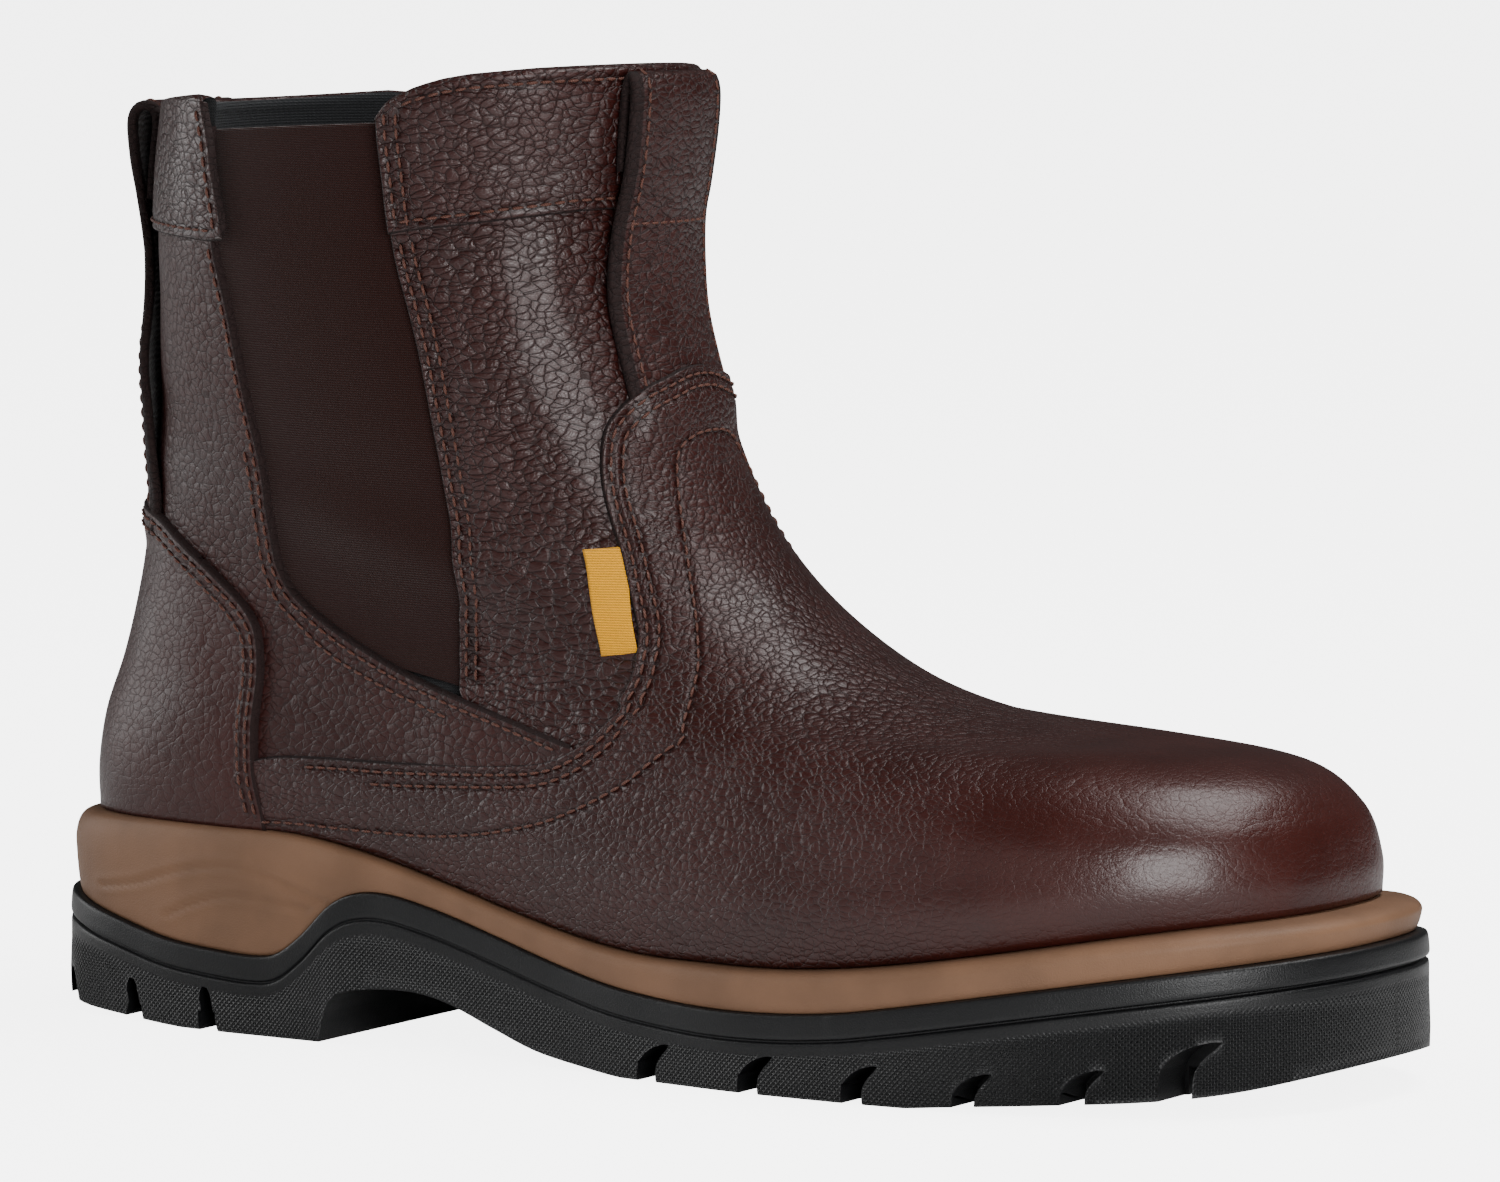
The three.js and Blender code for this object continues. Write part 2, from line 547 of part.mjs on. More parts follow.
// Lugs: a slot in each side wall and a groove right across at every place along the foot
const springAt = (x) => TOE_SPRING * smooth((x / LAST_LENGTH - SPRING_FROM) / SPRING_OVER);
const halfSole = (x) => {
  const ring = soleRing(margin(1), () => 0);
  const near = ring.filter((p) => p.y < 0).sort((a, b) => Math.abs(a.x - x) - Math.abs(b.x - x))[0];
  return Math.abs(near.y);
};
const heelLugs = [0.015, 0.085, 0.155];
const foreLugs = [0.55, 0.64, 0.725, 0.81, 0.885, 0.95];
for (const share of [...heelLugs, ...foreLugs]) {
  const x = share * LAST_LENGTH;
  const floor = springAt(x);
  const edge = halfSole(x) - SLOT_DEPTH;
  const slot = [[-0.5, -1], [0.5, -1], [0.5, 1], [-0.5, 1]].map(
    ([side, up]) => new THREE.Vector2(x + side * SLOT_WIDTH + up * SLOT_LEAN, floor + up * SLOT_HEIGHT),
  );
  cutters.push(slab(slot, -FAR, -edge), slab(slot, edge, FAR));
  const groove = [[-0.5, -4], [0.5, -4], [0.5, 1], [-0.5, 1]].map(
    ([side, up]) => new THREE.Vector2(x + side * LUG_GROOVE_WIDTH, floor + up * LUG_GROOVE_DEPTH),
  );
  cutters.push(slab(groove));
}
const lugs = cutters.reduce((left, cutter) => left.subtract(cutter), stack(outsoleRings));
add('outsole', lugs, 0x2b2c2e, 0.8);

// The whole stands with the middle of its sole at the origin
const { min, max } = pieces.find(({ name }) => name === 'outsole').solid.boundingBox();
const shift = [-(min[0] + max[0]) / 2, -(min[1] + max[1]) / 2, -min[2]];
const group = new THREE.Group();
for (const { name, solid, color, roughness } of pieces) {
  const material = new THREE.MeshStandardMaterial({ color, roughness, metalness: 0 });
  const mesh = new THREE.Mesh(geometryOf(solid, shift), material);
  mesh.name = name;
  group.add(mesh);
}

export default group;
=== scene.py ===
"""Looks of a pull-on work boot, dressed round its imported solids.

Shapes are worked out in the boot's own millimetres (x from the heel, z from the floor, the outer side at
negative y) on the same lofted surface as the solids, and then put into the shared frame in metres.
"""

import logging
import math
from dataclasses import dataclass, field
from enum import Enum
from typing import Callable, Optional

import bpy
import numpy as np
from mathutils import Matrix, Vector


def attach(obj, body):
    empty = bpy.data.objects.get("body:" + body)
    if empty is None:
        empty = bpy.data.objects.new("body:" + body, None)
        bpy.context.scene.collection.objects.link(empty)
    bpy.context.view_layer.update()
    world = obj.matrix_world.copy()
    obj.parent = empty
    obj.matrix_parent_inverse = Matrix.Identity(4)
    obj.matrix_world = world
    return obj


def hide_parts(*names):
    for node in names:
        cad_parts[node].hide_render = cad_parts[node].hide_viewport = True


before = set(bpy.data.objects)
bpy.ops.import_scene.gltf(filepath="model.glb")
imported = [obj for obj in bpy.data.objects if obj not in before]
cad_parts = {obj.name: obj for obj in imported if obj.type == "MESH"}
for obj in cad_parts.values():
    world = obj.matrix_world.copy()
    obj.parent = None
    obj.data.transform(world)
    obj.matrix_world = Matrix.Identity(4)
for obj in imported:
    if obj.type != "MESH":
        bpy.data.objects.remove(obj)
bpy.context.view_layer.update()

LOG = logging.getLogger("work_boot")
BODY = "root"
MILLIMETRE = 0.001
SHIFT = np.array([148.152, 0.910, 0.0])
HALF_TURN = math.pi

Array = np.ndarray


class Side(Enum):
    """Which half of the boot a path lies on; the value is the sign of its angle."""

    OUTER = 1
    INNER = -1


# ---------------------------------------------------------------- numbers shared by several pieces


def smooth(t: Array) -> Array:
    """Eases from 0 to 1: t squared times three minus two t, held at both ends."""
    t = np.clip(t, 0.0, 1.0)
    return t * t * (3.0 - 2.0 * t)


def mix(a: Array, b: Array, t: Array) -> Array:
    """The value a share t of the way from a to b."""
    return a + (b - a) * t


def bump_at(distance: Array, width: float) -> Array:
    """A round hump, one at distance 0, that has faded at about twice its width."""
    return np.exp(-((distance / width) ** 2))


def spline(points: Array, step: float) -> Array:
    """A smooth curve through points, sampled evenly.

    Each stretch is a cubic whose slope at a point is half the step between its neighbours; the samples
    are then spread by length.

    Args:
        points: (n, k) control points.
        step: wanted distance between samples.

    Returns:
        (m, k) points.
    """
    points = np.asarray(points, float)
    ends = np.concatenate([[2 * points[0] - points[1]], points, [2 * points[-1] - points[-2]]])
    t = np.linspace(0.0, 1.0, 24, endpoint=False)[None, :, None]
    a, b, c, d = (ends[k : k + len(points) - 1, None, :] for k in range(4))
    curve = b + 0.5 * t * (c - a + t * (2 * a - 5 * b + 4 * c - d + t * (3 * (b - c) + d - a)))
    curve = np.concatenate([curve.reshape(-1, points.shape[1]), points[-1:]])
    return even(curve, step)


def even(curve: Array, step: float) -> Array:
    """The same polyline with samples spread evenly by length, about step apart."""
    length = np.concatenate([[0.0], np.cumsum(np.linalg.norm(np.diff(curve, axis=0), axis=1))])
    count = max(2, int(round(length[-1] / step)) + 1)
    along = np.linspace(0.0, length[-1], count)
    return np.stack([np.interp(along, length, curve[:, k]) for k in range(curve.shape[1])], axis=1)


def distance_to(points: Array, path: Array) -> Array:
    """Shortest distance from each point to a polyline.

    The nearest sample is found first, and then the nearest place on the two stretches beside it.

    Args:
        points: (..., k) places.
        path: (m, k) samples of the polyline.

    Returns:
        Distances in the shape of points without its last axis.
    """
    flat = points.reshape(-1, points.shape[-1])
    best = np.empty(len(flat))
    starts, ends = path[:-1], path[1:]
    steps = ends - starts
    squares = np.maximum((steps**2).sum(axis=1), 1e-12)
    path_squares = (path**2).sum(axis=1)
    for low in range(0, len(flat), 6000):
        part = flat[low : low + 6000]
        gaps = path_squares[None, :] - 2.0 * part @ path.T
        near = np.argmin(gaps, axis=1)
        found = np.full(len(part), np.inf)
        for back in (1, 0):
            k = np.clip(near - back, 0, len(steps) - 1)
            t = ((part - starts[k]) * steps[k]).sum(axis=1) / squares[k]
            foot = starts[k] + steps[k] * np.clip(t, 0.0, 1.0)[:, None]
            found = np.minimum(found, np.linalg.norm(part - foot, axis=1))
        best[low : low + 6000] = found
    return best.reshape(points.shape[:-1])


def to_frame(points: Array) -> Array:
    """Design millimetres to the shared frame in metres."""
    return (points - SHIFT) * MILLIMETRE


# ---------------------------------------------------------------- the lofted surface of the upper


@dataclass(frozen=True)
class LastSizes:
    """Driving sizes of the foot's form, in millimetres, the same as the solids use."""

    last_length: float = 289.0
    ball_width: float = 101.0
    heel_width: float = 69.0
    toe_swing: float = 7.0
    inner_arch: float = 9.0
    outer_arch: float = 2.0
    shaft_width: float = 88.0
    shaft_depth: float = 115.0
    shaft_height: float = 199.5
    collar_back: float = 188.0
    collar_tilt: float = 2.2
    heel_seat: float = 42.0
    ball_seat: float = 24.8
    toe_seat: float = 39.0
    toe_box: float = 31.8
    fall_from: float = 0.2
    fall_over: float = 0.36
    climb_from: float = 0.62
    climb_over: float = 0.43
    waist_place: float = 0.42
    waist_spread: float = 0.26
    heel_takeover: float = 0.75


SECTIONS: dict[str, list[float]] = {
    "of_last": [0.997, 0.995, 0.983, 0.95, 0.875, 0.775, 0.68, 0.6, 0.28, 0.08, 0, 0, 0, 0],
    "of_shaft": [0, 0, 0, 0, 0, 0, 0, 0, 0.66, 1.068, 1.205, 1.155, 1.15, 1.16],
    "toe_rise": [0, 0.25, 0.55, 0.81, 0.95, 1, 1, 1, 1, 1, 1, 1, 1, 1],
    "rise": [0, 0, 0, 0, 0, 0, 0.045, 0.13, 0.24, 0.375, 0.525, 0.68, 0.84, 1],
    "back": [0.045, 0.046, 0.054, 0.08, 0.1, 0.114, 0.124, 0.13, 0.14, 0.148, 0.157, 0.16, 0.168, 0.185],
    "back_rise": [0, 0.065, 0.14, 0.215, 0.29, 0.365, 0.44, 0.515, 0.585, 0.66, 0.74, 0.825, 0.915, 1],
    "wide": [0.7, 0.7, 0.69, 0.66, 0.62, 0.57, 0.53, 0.5, 0.5, 0.5, 0.5, 0.5, 0.5, 0.5],
    "ball": [0.95, 1, 0.97, 0.88, 0.78, 0.71, 0.66, 0.5, 0.24, 0.08, 0, 0, 0, 0],
    "shaft": [0, 0, 0, 0, 0, 0, 0.04, 0.26, 0.56, 0.8, 0.94, 0.97, 0.98, 1],
    "heel_wide": [1, 1.03, 1.04, 1.02, 0.99, 0.97, 0.98, 1.01, 1.06, 1.1, 1.2, 1.2, 1.2, 1.2],
    "heel": [1, 1, 1, 1, 0.97, 0.9, 0.75, 0.5, 0.2, 0, 0, 0, 0, 0],
    "seat": [1, 0.9, 0.75, 0.6, 0.45, 0.3, 0.18, 0.08, 0, 0, 0, 0, 0, 0],
    "toe": [2.5, 2.5, 2.5, 2.4, 2.3, 2.2, 2.2, 2.2, 2.2, 2.2, 2.2, 2.2, 2.2, 2.2],
    "round": [4, 4, 3.6, 3.2, 2.9, 2.6, 2.4, 2.2, 2.2, 2.2, 2.2, 2.2, 2.2, 2.2],
}
COLLAR = 13.0


class Last:
    """The surface that the upper is drawn over, as a function of an angle and a section number."""

    def __init__(self, sizes: LastSizes) -> None:
        """Keeps the sizes and the padded rows of the section table."""
        self.sizes = sizes
        self.rows = {}
        for name, values in SECTIONS.items():
            row = np.array(values, float)
            self.rows[name] = np.concatenate([[2 * row[0] - row[1]], row, [2 * row[-1] - row[-2]]])
        self._angles, self._sections = np.meshgrid(np.linspace(0, HALF_TURN, 241), np.linspace(0, COLLAR, 261))

    def column(self, name: str, v: Array) -> Array:
        """One column of the section table at section number v, by a cubic through its four nearest rows."""
        rows = self.rows[name]
        i = np.clip(np.floor(v).astype(int), 0, int(COLLAR) - 1)
        t = v - i
        a, b, c, d = (rows[i + k] for k in range(4))
        curve = b + 0.5 * t * (c - a + t * (2 * a - 5 * b + 4 * c - d + t * (3 * (b - c) + d - a)))
        return np.where(t > 1, c + (c - b) * (t - 1), curve)

    def seat_height(self, x: Array) -> Array:
        """Height of the lower edge at x: level heel seat, down through the waist, up again to the toe."""
        s = self.sizes
        share = x / s.last_length
        fallen = mix(s.heel_seat, s.ball_seat, smooth((share - s.fall_from) / s.fall_over))
        return mix(fallen, s.toe_seat, smooth((share - s.climb_from) / s.climb_over))

    def point(self, theta: Array, v: Array) -> Array:
        """A point of the surface.

        Along x the section runs as the cosine of the angle between its back and front, its half width is
        the full width times the p-th root of one minus that cosine to the power p, and its height is a
        straight line from back to front that bends with the seat near the sole.

        Args:
            theta: angle in radians, 0 at the front and a quarter turn at the outer side.
            v: section number, 0 at the feather edge and 13 at the collar.

        Returns:
            (..., 3) design millimetres.
        """
        s = self.sizes
        theta, v = np.broadcast_arrays(np.asarray(theta, float), np.asarray(v, float))
        at = {name: self.column(name, v) for name in self.rows}
        front = at["of_last"] * s.last_length + at["of_shaft"] * s.shaft_depth
        back = at["back"] * s.shaft_depth
        toe_top = s.toe_seat + s.toe_box * at["toe_rise"]
        front_height = toe_top + (s.shaft_height - s.toe_seat - s.toe_box) * at["rise"]
        back_height = mix(s.heel_seat, s.collar_back, at["back_rise"])
        widest = mix(back, front, at["wide"])
        half = (s.ball_width * at["ball"] + s.shaft_width * at["shaft"]) / 2
        heel_half = mix(half, s.heel_width / 2 * at["heel_wide"], at["heel"])
        u, side = np.cos(theta), np.sin(theta)
        sign = np.where(side > 0, 1.0, -1.0)
        power = np.where(u > 0, at["toe"], at["round"])
        x = np.where(u > 0, mix(widest, front, u), mix(widest, back, -u))
        waist = np.exp(-(((u + s.waist_place) / s.waist_spread) ** 2))
        arch = np.where(side > 0, s.outer_arch, s.inner_arch) * at["seat"] * waist
        full = np.where(u > 0, half, mix(half, heel_half, smooth(-u / s.heel_takeover)) - arch)
        width = full * np.maximum(1 - np.abs(u) ** power, 0.0) ** (1 / power)
        past = np.maximum(0.0, (x / s.last_length - s.climb_from) / (1 - s.climb_from))
        centre = s.toe_swing * past**2
        level = mix(back_height, front_height, (x - back) / (front - back))
        straight = mix(s.heel_seat, s.toe_seat, x / s.last_length)
        tilt = s.collar_tilt * sign * (width / half) * np.maximum(0.0, at["rise"]) ** 2
        z = level + tilt + at["seat"] * (self.seat_height(x) - straight)
        return np.stack([x, centre - sign * width, z], axis=-1)

    def normal(self, theta: Array, v: Array) -> Array:
        """Outward direction: the step up the surface crossed with the step round it."""
        step = 0.02
        around = self.point(theta + step, v) - self.point(theta - step, v)
        up = self.point(theta, v + step) - self.point(theta, np.maximum(v - step, 0.0))
        out = np.cross(up, around)
        return out / np.maximum(np.linalg.norm(out, axis=-1, keepdims=True), 1e-9)

    def place(self, theta: Array, v: Array, offset: Array) -> Array:
        """A point of the surface moved along its outward direction by offset millimetres."""
        return self.point(theta, v) + self.normal(theta, v) * np.asarray(offset)[..., None]

    def locate(self, outline: Array, side: Side) -> Array:
        """Angle and section number of points given by their x and z in the side view.

        The nearest of a grid of samples is taken first and then improved by Newton steps on x and z.

        Args:
            outline: (n, 2) x and z in design millimetres.
            side: half of the boot.

        Returns:
            (n, 2) angle and section number.
        """
        grid = self.point(self._angles * side.value, self._sections)[..., [0, 2]].reshape(-1, 2)
        gaps = ((outline[:, None, :] - grid[None]) ** 2).sum(axis=2)
        best = np.argmin(gaps, axis=1)
        found = np.stack([self._angles.ravel()[best] * side.value, self._sections.ravel()[best]], axis=1)
        step = 1e-3
        for _ in range(8):
            here = self.point(found[:, 0], found[:, 1])[:, [0, 2]]
            turn = (self.point(found[:, 0] + step, found[:, 1])[:, [0, 2]] - here) / step
            rise = (self.point(found[:, 0], found[:, 1] + step)[:, [0, 2]] - here) / step
            miss = outline - here
            size = turn[:, 0] * rise[:, 1] - turn[:, 1] * rise[:, 0]
            size = np.where(np.abs(size) < 1e-3, 1e-3, size)
            move = np.stack(
                [miss[:, 0] * rise[:, 1] - miss[:, 1] * rise[:, 0], turn[:, 0] * miss[:, 1] - turn[:, 1] * miss[:, 0]],
                axis=1,
            )
            trial = found + np.clip(move / size[:, None], -0.1, 0.1)
            trial[:, 0] = np.clip(trial[:, 0] * side.value, 0.0, HALF_TURN) * side.value
            after = outline - self.point(trial[:, 0], trial[:, 1])[:, [0, 2]]
            better = (after**2).sum(axis=1) < (miss**2).sum(axis=1)
            found = np.where(better[:, None], trial, found)
        return found

    def section_at_height(self, theta: Array, line: Callable[[Array], Array]) -> Array:
        """Section number at which the surface crosses a line z(x), found by halving at every angle."""
        low = np.full(np.shape(theta), 6.0)
        high = np.full(np.shape(theta), COLLAR + 0.5)
        for _ in range(26):
            middle = (low + high) / 2
            here = self.point(theta, middle)
            above = here[..., 2] > line(here[..., 0])
            high = np.where(above, middle, high)
            low = np.where(above, low, middle)
        return (low + high) / 2


LAST = Last(LastSizes())


# ---------------------------------------------------------------- paths on the surface


@dataclass
class Path:
    """A line on the upper's surface, as samples of angle and section number."""

    samples: Array

    @classmethod
    def from_table(cls, table: list[tuple[float, float]], side: Side, soften: float = 1.6) -> "Path":
        """A line through places given in degrees from the front and section numbers.

        Samples lie about a millimetre apart and are averaged with a bell curve that is soften millimetres
        wide; past both ends the line goes on as its own point reflection.
        """
        scale = np.array([1.0, 10.0])
        rows = spline(np.array(table, float) * scale, 0.8) / scale
        weights = bump_at(np.arange(-6, 7) * 0.8, soften)
        padded = np.concatenate([2 * rows[0] - rows[6:0:-1], rows, 2 * rows[-1] - rows[-2:-8:-1]])
        soft = [np.convolve(padded[:, k], weights / weights.sum(), "valid") for k in (0, 1)]
        return cls(np.stack([np.radians(soft[0]) * side.value, soft[1]], axis=1))

    def inset(self, distance: float) -> "Path":
        """The line moved sideways on the surface.

        The step in space is the outward direction crossed with the line's direction, so on the outer side
        a line that runs down moves forwards for a positive distance. It is turned into steps of angle and
        section with the surface's two slopes, and samples that end up too near the old line are left out.
        """
        angle, section = self.samples.T
        step = 1e-3
        here = LAST.point(angle, section)
        slopes = np.stack([LAST.point(angle + step, section) - here, LAST.point(angle, section + step) - here], axis=-1) / step
        side = np.cross(LAST.normal(angle, section), np.gradient(here, axis=0))
        side *= distance / np.maximum(np.linalg.norm(side, axis=1, keepdims=True), 1e-9)
        moved = self.samples + np.einsum("nij,nj->ni", np.linalg.pinv(slopes), side)
        clear = distance_to(LAST.point(moved[:, 0], moved[:, 1]), here) > abs(distance) * 0.93
        return Path(moved[clear])

    def between(self, low: float, high: float) -> "Path":
        """The part of the line whose section numbers lie from low to high."""
        return Path(self.samples[(self.samples[:, 1] >= low) & (self.samples[:, 1] <= high)])

    def points(self, offset: float = 0.0, step: float = 0.4) -> Array:
        """The line in space, in design millimetres, sampled evenly."""
        return even(LAST.place(self.samples[:, 0], self.samples[:, 1], np.full(len(self.samples), offset)), step)

    def angle(self, v: Array) -> Array:
        """Angle of the line where it crosses section v; the line must rise or fall all the way."""
        order = np.argsort(self.samples[:, 1])
        return np.interp(v, self.samples[order, 1], self.samples[order, 0])


def fold(theta: Array) -> Array:
    """Degrees from the front, 0 to 180, of an angle on either half."""
    turned = np.abs(np.degrees(theta))
    return np.minimum(turned, 360.0 - turned)


class Outlines:
    """Lines of the pattern on the surface: degrees from the front and section numbers, from the top down."""

    gore_front = [
        (75.3, 13.1), (75.0, 12.7), (74.7, 12.5), (74.1, 12.3), (73.5, 12.1), (72.8, 11.86), (72.3, 11.64), (71.6, 11.4),
        (70.9, 11.1), (70.2, 10.8), (69.8, 10.52), (69.8, 10.23), (70.0, 9.94), (70.3, 9.68), (71.2, 9.21), (72.8, 8.69),
        (75.4, 8.11), (78.6, 7.47), (84.6, 6.72), (95.3, 5.8), (106.2, 4.69), (112.5, 3.87), (113.5, 3.4), (114.0, 2.9),
    ]
    gore_back = [
        (120.0, 12.9), (118.6, 12.3), (117.6, 11.6), (116.7, 10.94), (115.8, 10.66), (115.0, 10.36), (114.5, 10.05),
        (114.1, 9.63), (113.8, 9.31), (113.8, 8.86), (114.1, 8.37), (114.5, 7.86), (115.3, 7.35), (117.9, 6.79),
        (121.8, 6.13), (123.7, 5.73), (124.8, 5.27), (124.2, 4.99), (123.2, 4.72), (121.9, 4.4), (120.3, 4.17),
        (118.6, 3.96), (116.2, 3.84), (113.6, 3.75), (111.0, 3.68), (108.5, 3.59), (106.2, 3.5), (104.0, 3.41),
    ]
    band_back = [(122.2, 13.1), (120.6, 12.8), (118.1, 12.46), (115.8, 11.95), (114.1, 11.62), (112.9, 11.38), (112.5, 11.0)]
    vamp_edge = [
        (0.0, 10.02), (5.0, 10.0), (10.8, 9.93), (18.7, 9.82), (24.9, 9.66), (29.6, 9.5), (32.6, 9.34), (35.0, 9.12),
        (37.6, 8.83), (39.4, 8.54), (40.9, 8.25), (42.2, 8.01), (43.9, 7.77), (46.6, 7.43), (49.6, 7.1), (53.0, 6.79),
        (57.8, 6.46), (63.2, 6.14), (69.4, 5.75), (78.6, 5.21), (87.5, 4.7), (94.6, 4.2), (99.3, 3.78), (102.8, 3.45),
        (106.1, 3.14), (108.8, 2.91), (112.0, 2.71), (115.0, 2.54), (120.8, 2.21), (125.4, 1.97), (131.7, 1.74),
        (137.3, 1.58), (140.5, 1.3), (142.0, 0.7), (142.4, -0.1),
    ]
    vamp_stitch = [
        (0.0, 9.35), (4.3, 9.34), (8.0, 9.3), (11.2, 9.24), (13.8, 9.15), (15.8, 9.02), (17.7, 8.85), (20.7, 8.55),
        (24.3, 8.19), (27.7, 7.89), (31.5, 7.57), (35.9, 7.2), (40.6, 6.87), (47.3, 6.46), (55.1, 6.01), (63.7, 5.52),
        (73.3, 4.95), (82.9, 4.4), (90.0, 3.96), (94.9, 3.57), (98.5, 3.23), (101.5, 2.91), (104.6, 2.58), (107.8, 2.23),
        (110.8, 1.9), (113.9, 1.6), (116.9, 1.31), (121.6, 0.9), (126.0, 0.6), (129.1, 0.43), (132.2, 0.32), (138.0, 0.2),
    ]
    counter_edge = [
        (180.0, 6.04), (168.0, 6.03), (156.6, 5.95), (149.0, 5.76), (141.6, 5.4), (138.0, 5.1), (135.6, 4.79), (134.9, 4.43),
        (135.3, 4.05), (136.5, 3.45), (137.6, 2.81), (138.1, 2.22), (138.2, 1.64), (138.1, 1.18), (137.7, 0.75),
        (137.3, 0.28), (137.2, -0.1),
    ]
    label = [(132.4, 104.0), (139.4, 104.7), (146.9, 84.2), (139.2, 83.1)]
    vamp_corner = 9.66
    counter_corner = 5.4

    @staticmethod
    def band_low(theta: Array) -> Array:
        """Section number of the collar band's lower edge: one curve over the front, one over the back."""
        turned = fold(theta)
        front = np.interp(turned, [0.0, 28.0, 46.0, 60.0, 66.0, 72.0], [11.66, 11.61, 11.52, 11.43, 11.39, 11.33])
        back = np.interp(turned, [112.0, 118.0, 180.0], [11.12, 11.07, 11.06])
        return np.where(turned < 95.0, front, back)

    @staticmethod
    def rim(theta: Array) -> Array:
        """Section number of the rim, which falls in a round corner at the front edge of the elastic."""
        turned = fold(theta)
        front = np.interp(turned, [38.0, 54.0, 60.0, 64.0, 67.0, 69.0, 71.0, 73.0, 74.6, 75.4], [13.0, 12.98, 12.95, 12.91, 12.87, 12.83, 12.79, 12.72, 12.6, 12.45])
        back = np.interp(turned, [118.0, 122.5, 127.0], [12.85, 12.96, 13.0])
        return np.where(turned < 95.0, front, back)


def split(line: Path, corner: float) -> tuple[Callable[[Array], Array], Callable[[Array], Array]]:
    """A panel's outline cut at a section number.

    Args:
        line: the outline on the outer side, from the boot's middle down.
        corner: section number at which its top ends and its side begins.

    Returns:
        The side's angle by section, held above the corner, and the top's section by angle on either half.
    """
    angle, section = line.samples.T
    side, top = section <= corner, section >= corner
    turned, height = fold(angle[top]), section[top]
    order = np.argsort(turned)

    def side_angle(v: Array) -> Array:
        """Angle of the side at section v."""
        return np.interp(np.minimum(v, corner), section[side][::-1], angle[side][::-1])

    def top_section(theta: Array) -> Array:
        """Section of the top at an angle."""
        return np.interp(fold(theta), turned[order], height[order])

    return side_angle, top_section


def over_strap(points: Array) -> Array:
    """How far the vamp's upper edge rises over the front strap's end, which is sewn in under it."""
    across = smooth((np.abs(points[..., 1]) - 13.5) / 6.0)
    return 2.1 * smooth((points[..., 2] - 121.0) / 11.0) * (1.0 - across) * smooth((points[..., 0] - 110.0) / 10.0)


def arm_lift(points: Array) -> Array:
    """How far the back quarter's arm rises where it runs forwards over the shaft's front."""
    return 0.9 * smooth((points[..., 0] - 92.0) / 14.0)


def over_back_strap(points: Array) -> Array:
    """How far the counter's peak rises over the back strap's end."""
    across = smooth((np.abs(points[..., 1]) - 13.5) / 6.0)
    return 1.3 * smooth((points[..., 2] - 96.0) / 7.0) * (1.0 - across)


# ---------------------------------------------------------------- meshes


def mesh_object(
    name: str,
    vertices: Array,
    quads: Array,
    triangles: Optional[Array] = None,
    attributes: Optional[dict[str, Array]] = None,
    faces_slot: Optional[Array] = None,
    uv: Optional[Array] = None,
) -> bpy.types.Object:
    """A smooth-shaded object from arrays.

    Args:
        name: the piece's name.
        vertices: (n, 3) metres in the shared frame.
        quads: (m, 4) corners.
        triangles: (k, 3) corners, put after the quads.
        attributes: values per vertex by name.
        faces_slot: material slot of each face.
        uv: (n, 2) values per vertex, written per corner.

    Returns:
        The object, linked to the scene.
    """
    triangles = np.zeros((0, 3), int) if triangles is None else triangles
    loops = np.concatenate([quads.ravel(), triangles.ravel()]).astype(np.int32)
    sizes = np.concatenate([np.full(len(quads), 4), np.full(len(triangles), 3)])
    starts = np.concatenate([[0], np.cumsum(sizes)[:-1]]).astype(np.int32)
    mesh = bpy.data.meshes.new(name)
    mesh.vertices.add(len(vertices))
    mesh.vertices.foreach_set("co", vertices.astype(np.float32).ravel())
    mesh.loops.add(len(loops))
    mesh.loops.foreach_set("vertex_index", loops)
    mesh.polygons.add(len(sizes))
    mesh.polygons.foreach_set("loop_start", starts)
    if faces_slot is not None:
        mesh.polygons.foreach_set("material_index", faces_slot.astype(np.int32))
    mesh.update(calc_edges=True)
    mesh.validate()
    mesh.shade_smooth()
    for key, values in (attributes or {}).items():
        layer = mesh.attributes.new(key, "FLOAT", "POINT")
        layer.data.foreach_set("value", values.astype(np.float32).ravel())
    if uv is not None:
        layer = mesh.uv_layers.new(name="surface")
        layer.data.foreach_set("uv", uv[loops].astype(np.float32).ravel())
    thing = bpy.data.objects.new(name, mesh)
    bpy.context.scene.collection.objects.link(thing)
    return thing


def grid_quads(rows: int, columns: int, around: bool = False) -> Array:
    """Corners of the quads of a grid whose columns may close into a ring."""
    last = columns if around else columns - 1
    r, c = np.meshgrid(np.arange(rows - 1), np.arange(last), indexing="ij")
    d = (c + 1) % columns
    return np.stack([r * columns + c, r * columns + d, (r + 1) * columns + d, (r + 1) * columns + c], -1).reshape(-1, 4)


def ladder_quads(first: int, count: int, flip: bool) -> tuple[Array, Array]:
    """A cap across a ring as rungs between mirrored points: quads and the two end triangles."""
    i = np.arange(1, count // 2 - 1)
    quads = np.stack([i, i + 1, count - i - 1, count - i], -1) + first
    triangles = np.array([[0, 1, count - 1], [count // 2 - 1, count // 2, count // 2 + 1]]) + first
    return (quads[:, ::-1], triangles[:, ::-1]) if flip else (quads, triangles)


def dress(piece: bpy.types.Object, materials: list[bpy.types.Material], slot: str, *nodes: str) -> bpy.types.Object:
    """Gives a piece its materials and body, and hides the solids that it stands for."""
    for material in materials:
        piece.data.materials.append(material)
    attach(piece, BODY)
    if nodes:
        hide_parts(*nodes)
    LOG.info("%s: %d faces", piece.name, len(piece.data.polygons))
    return piece


# ---------------------------------------------------------------- finishes


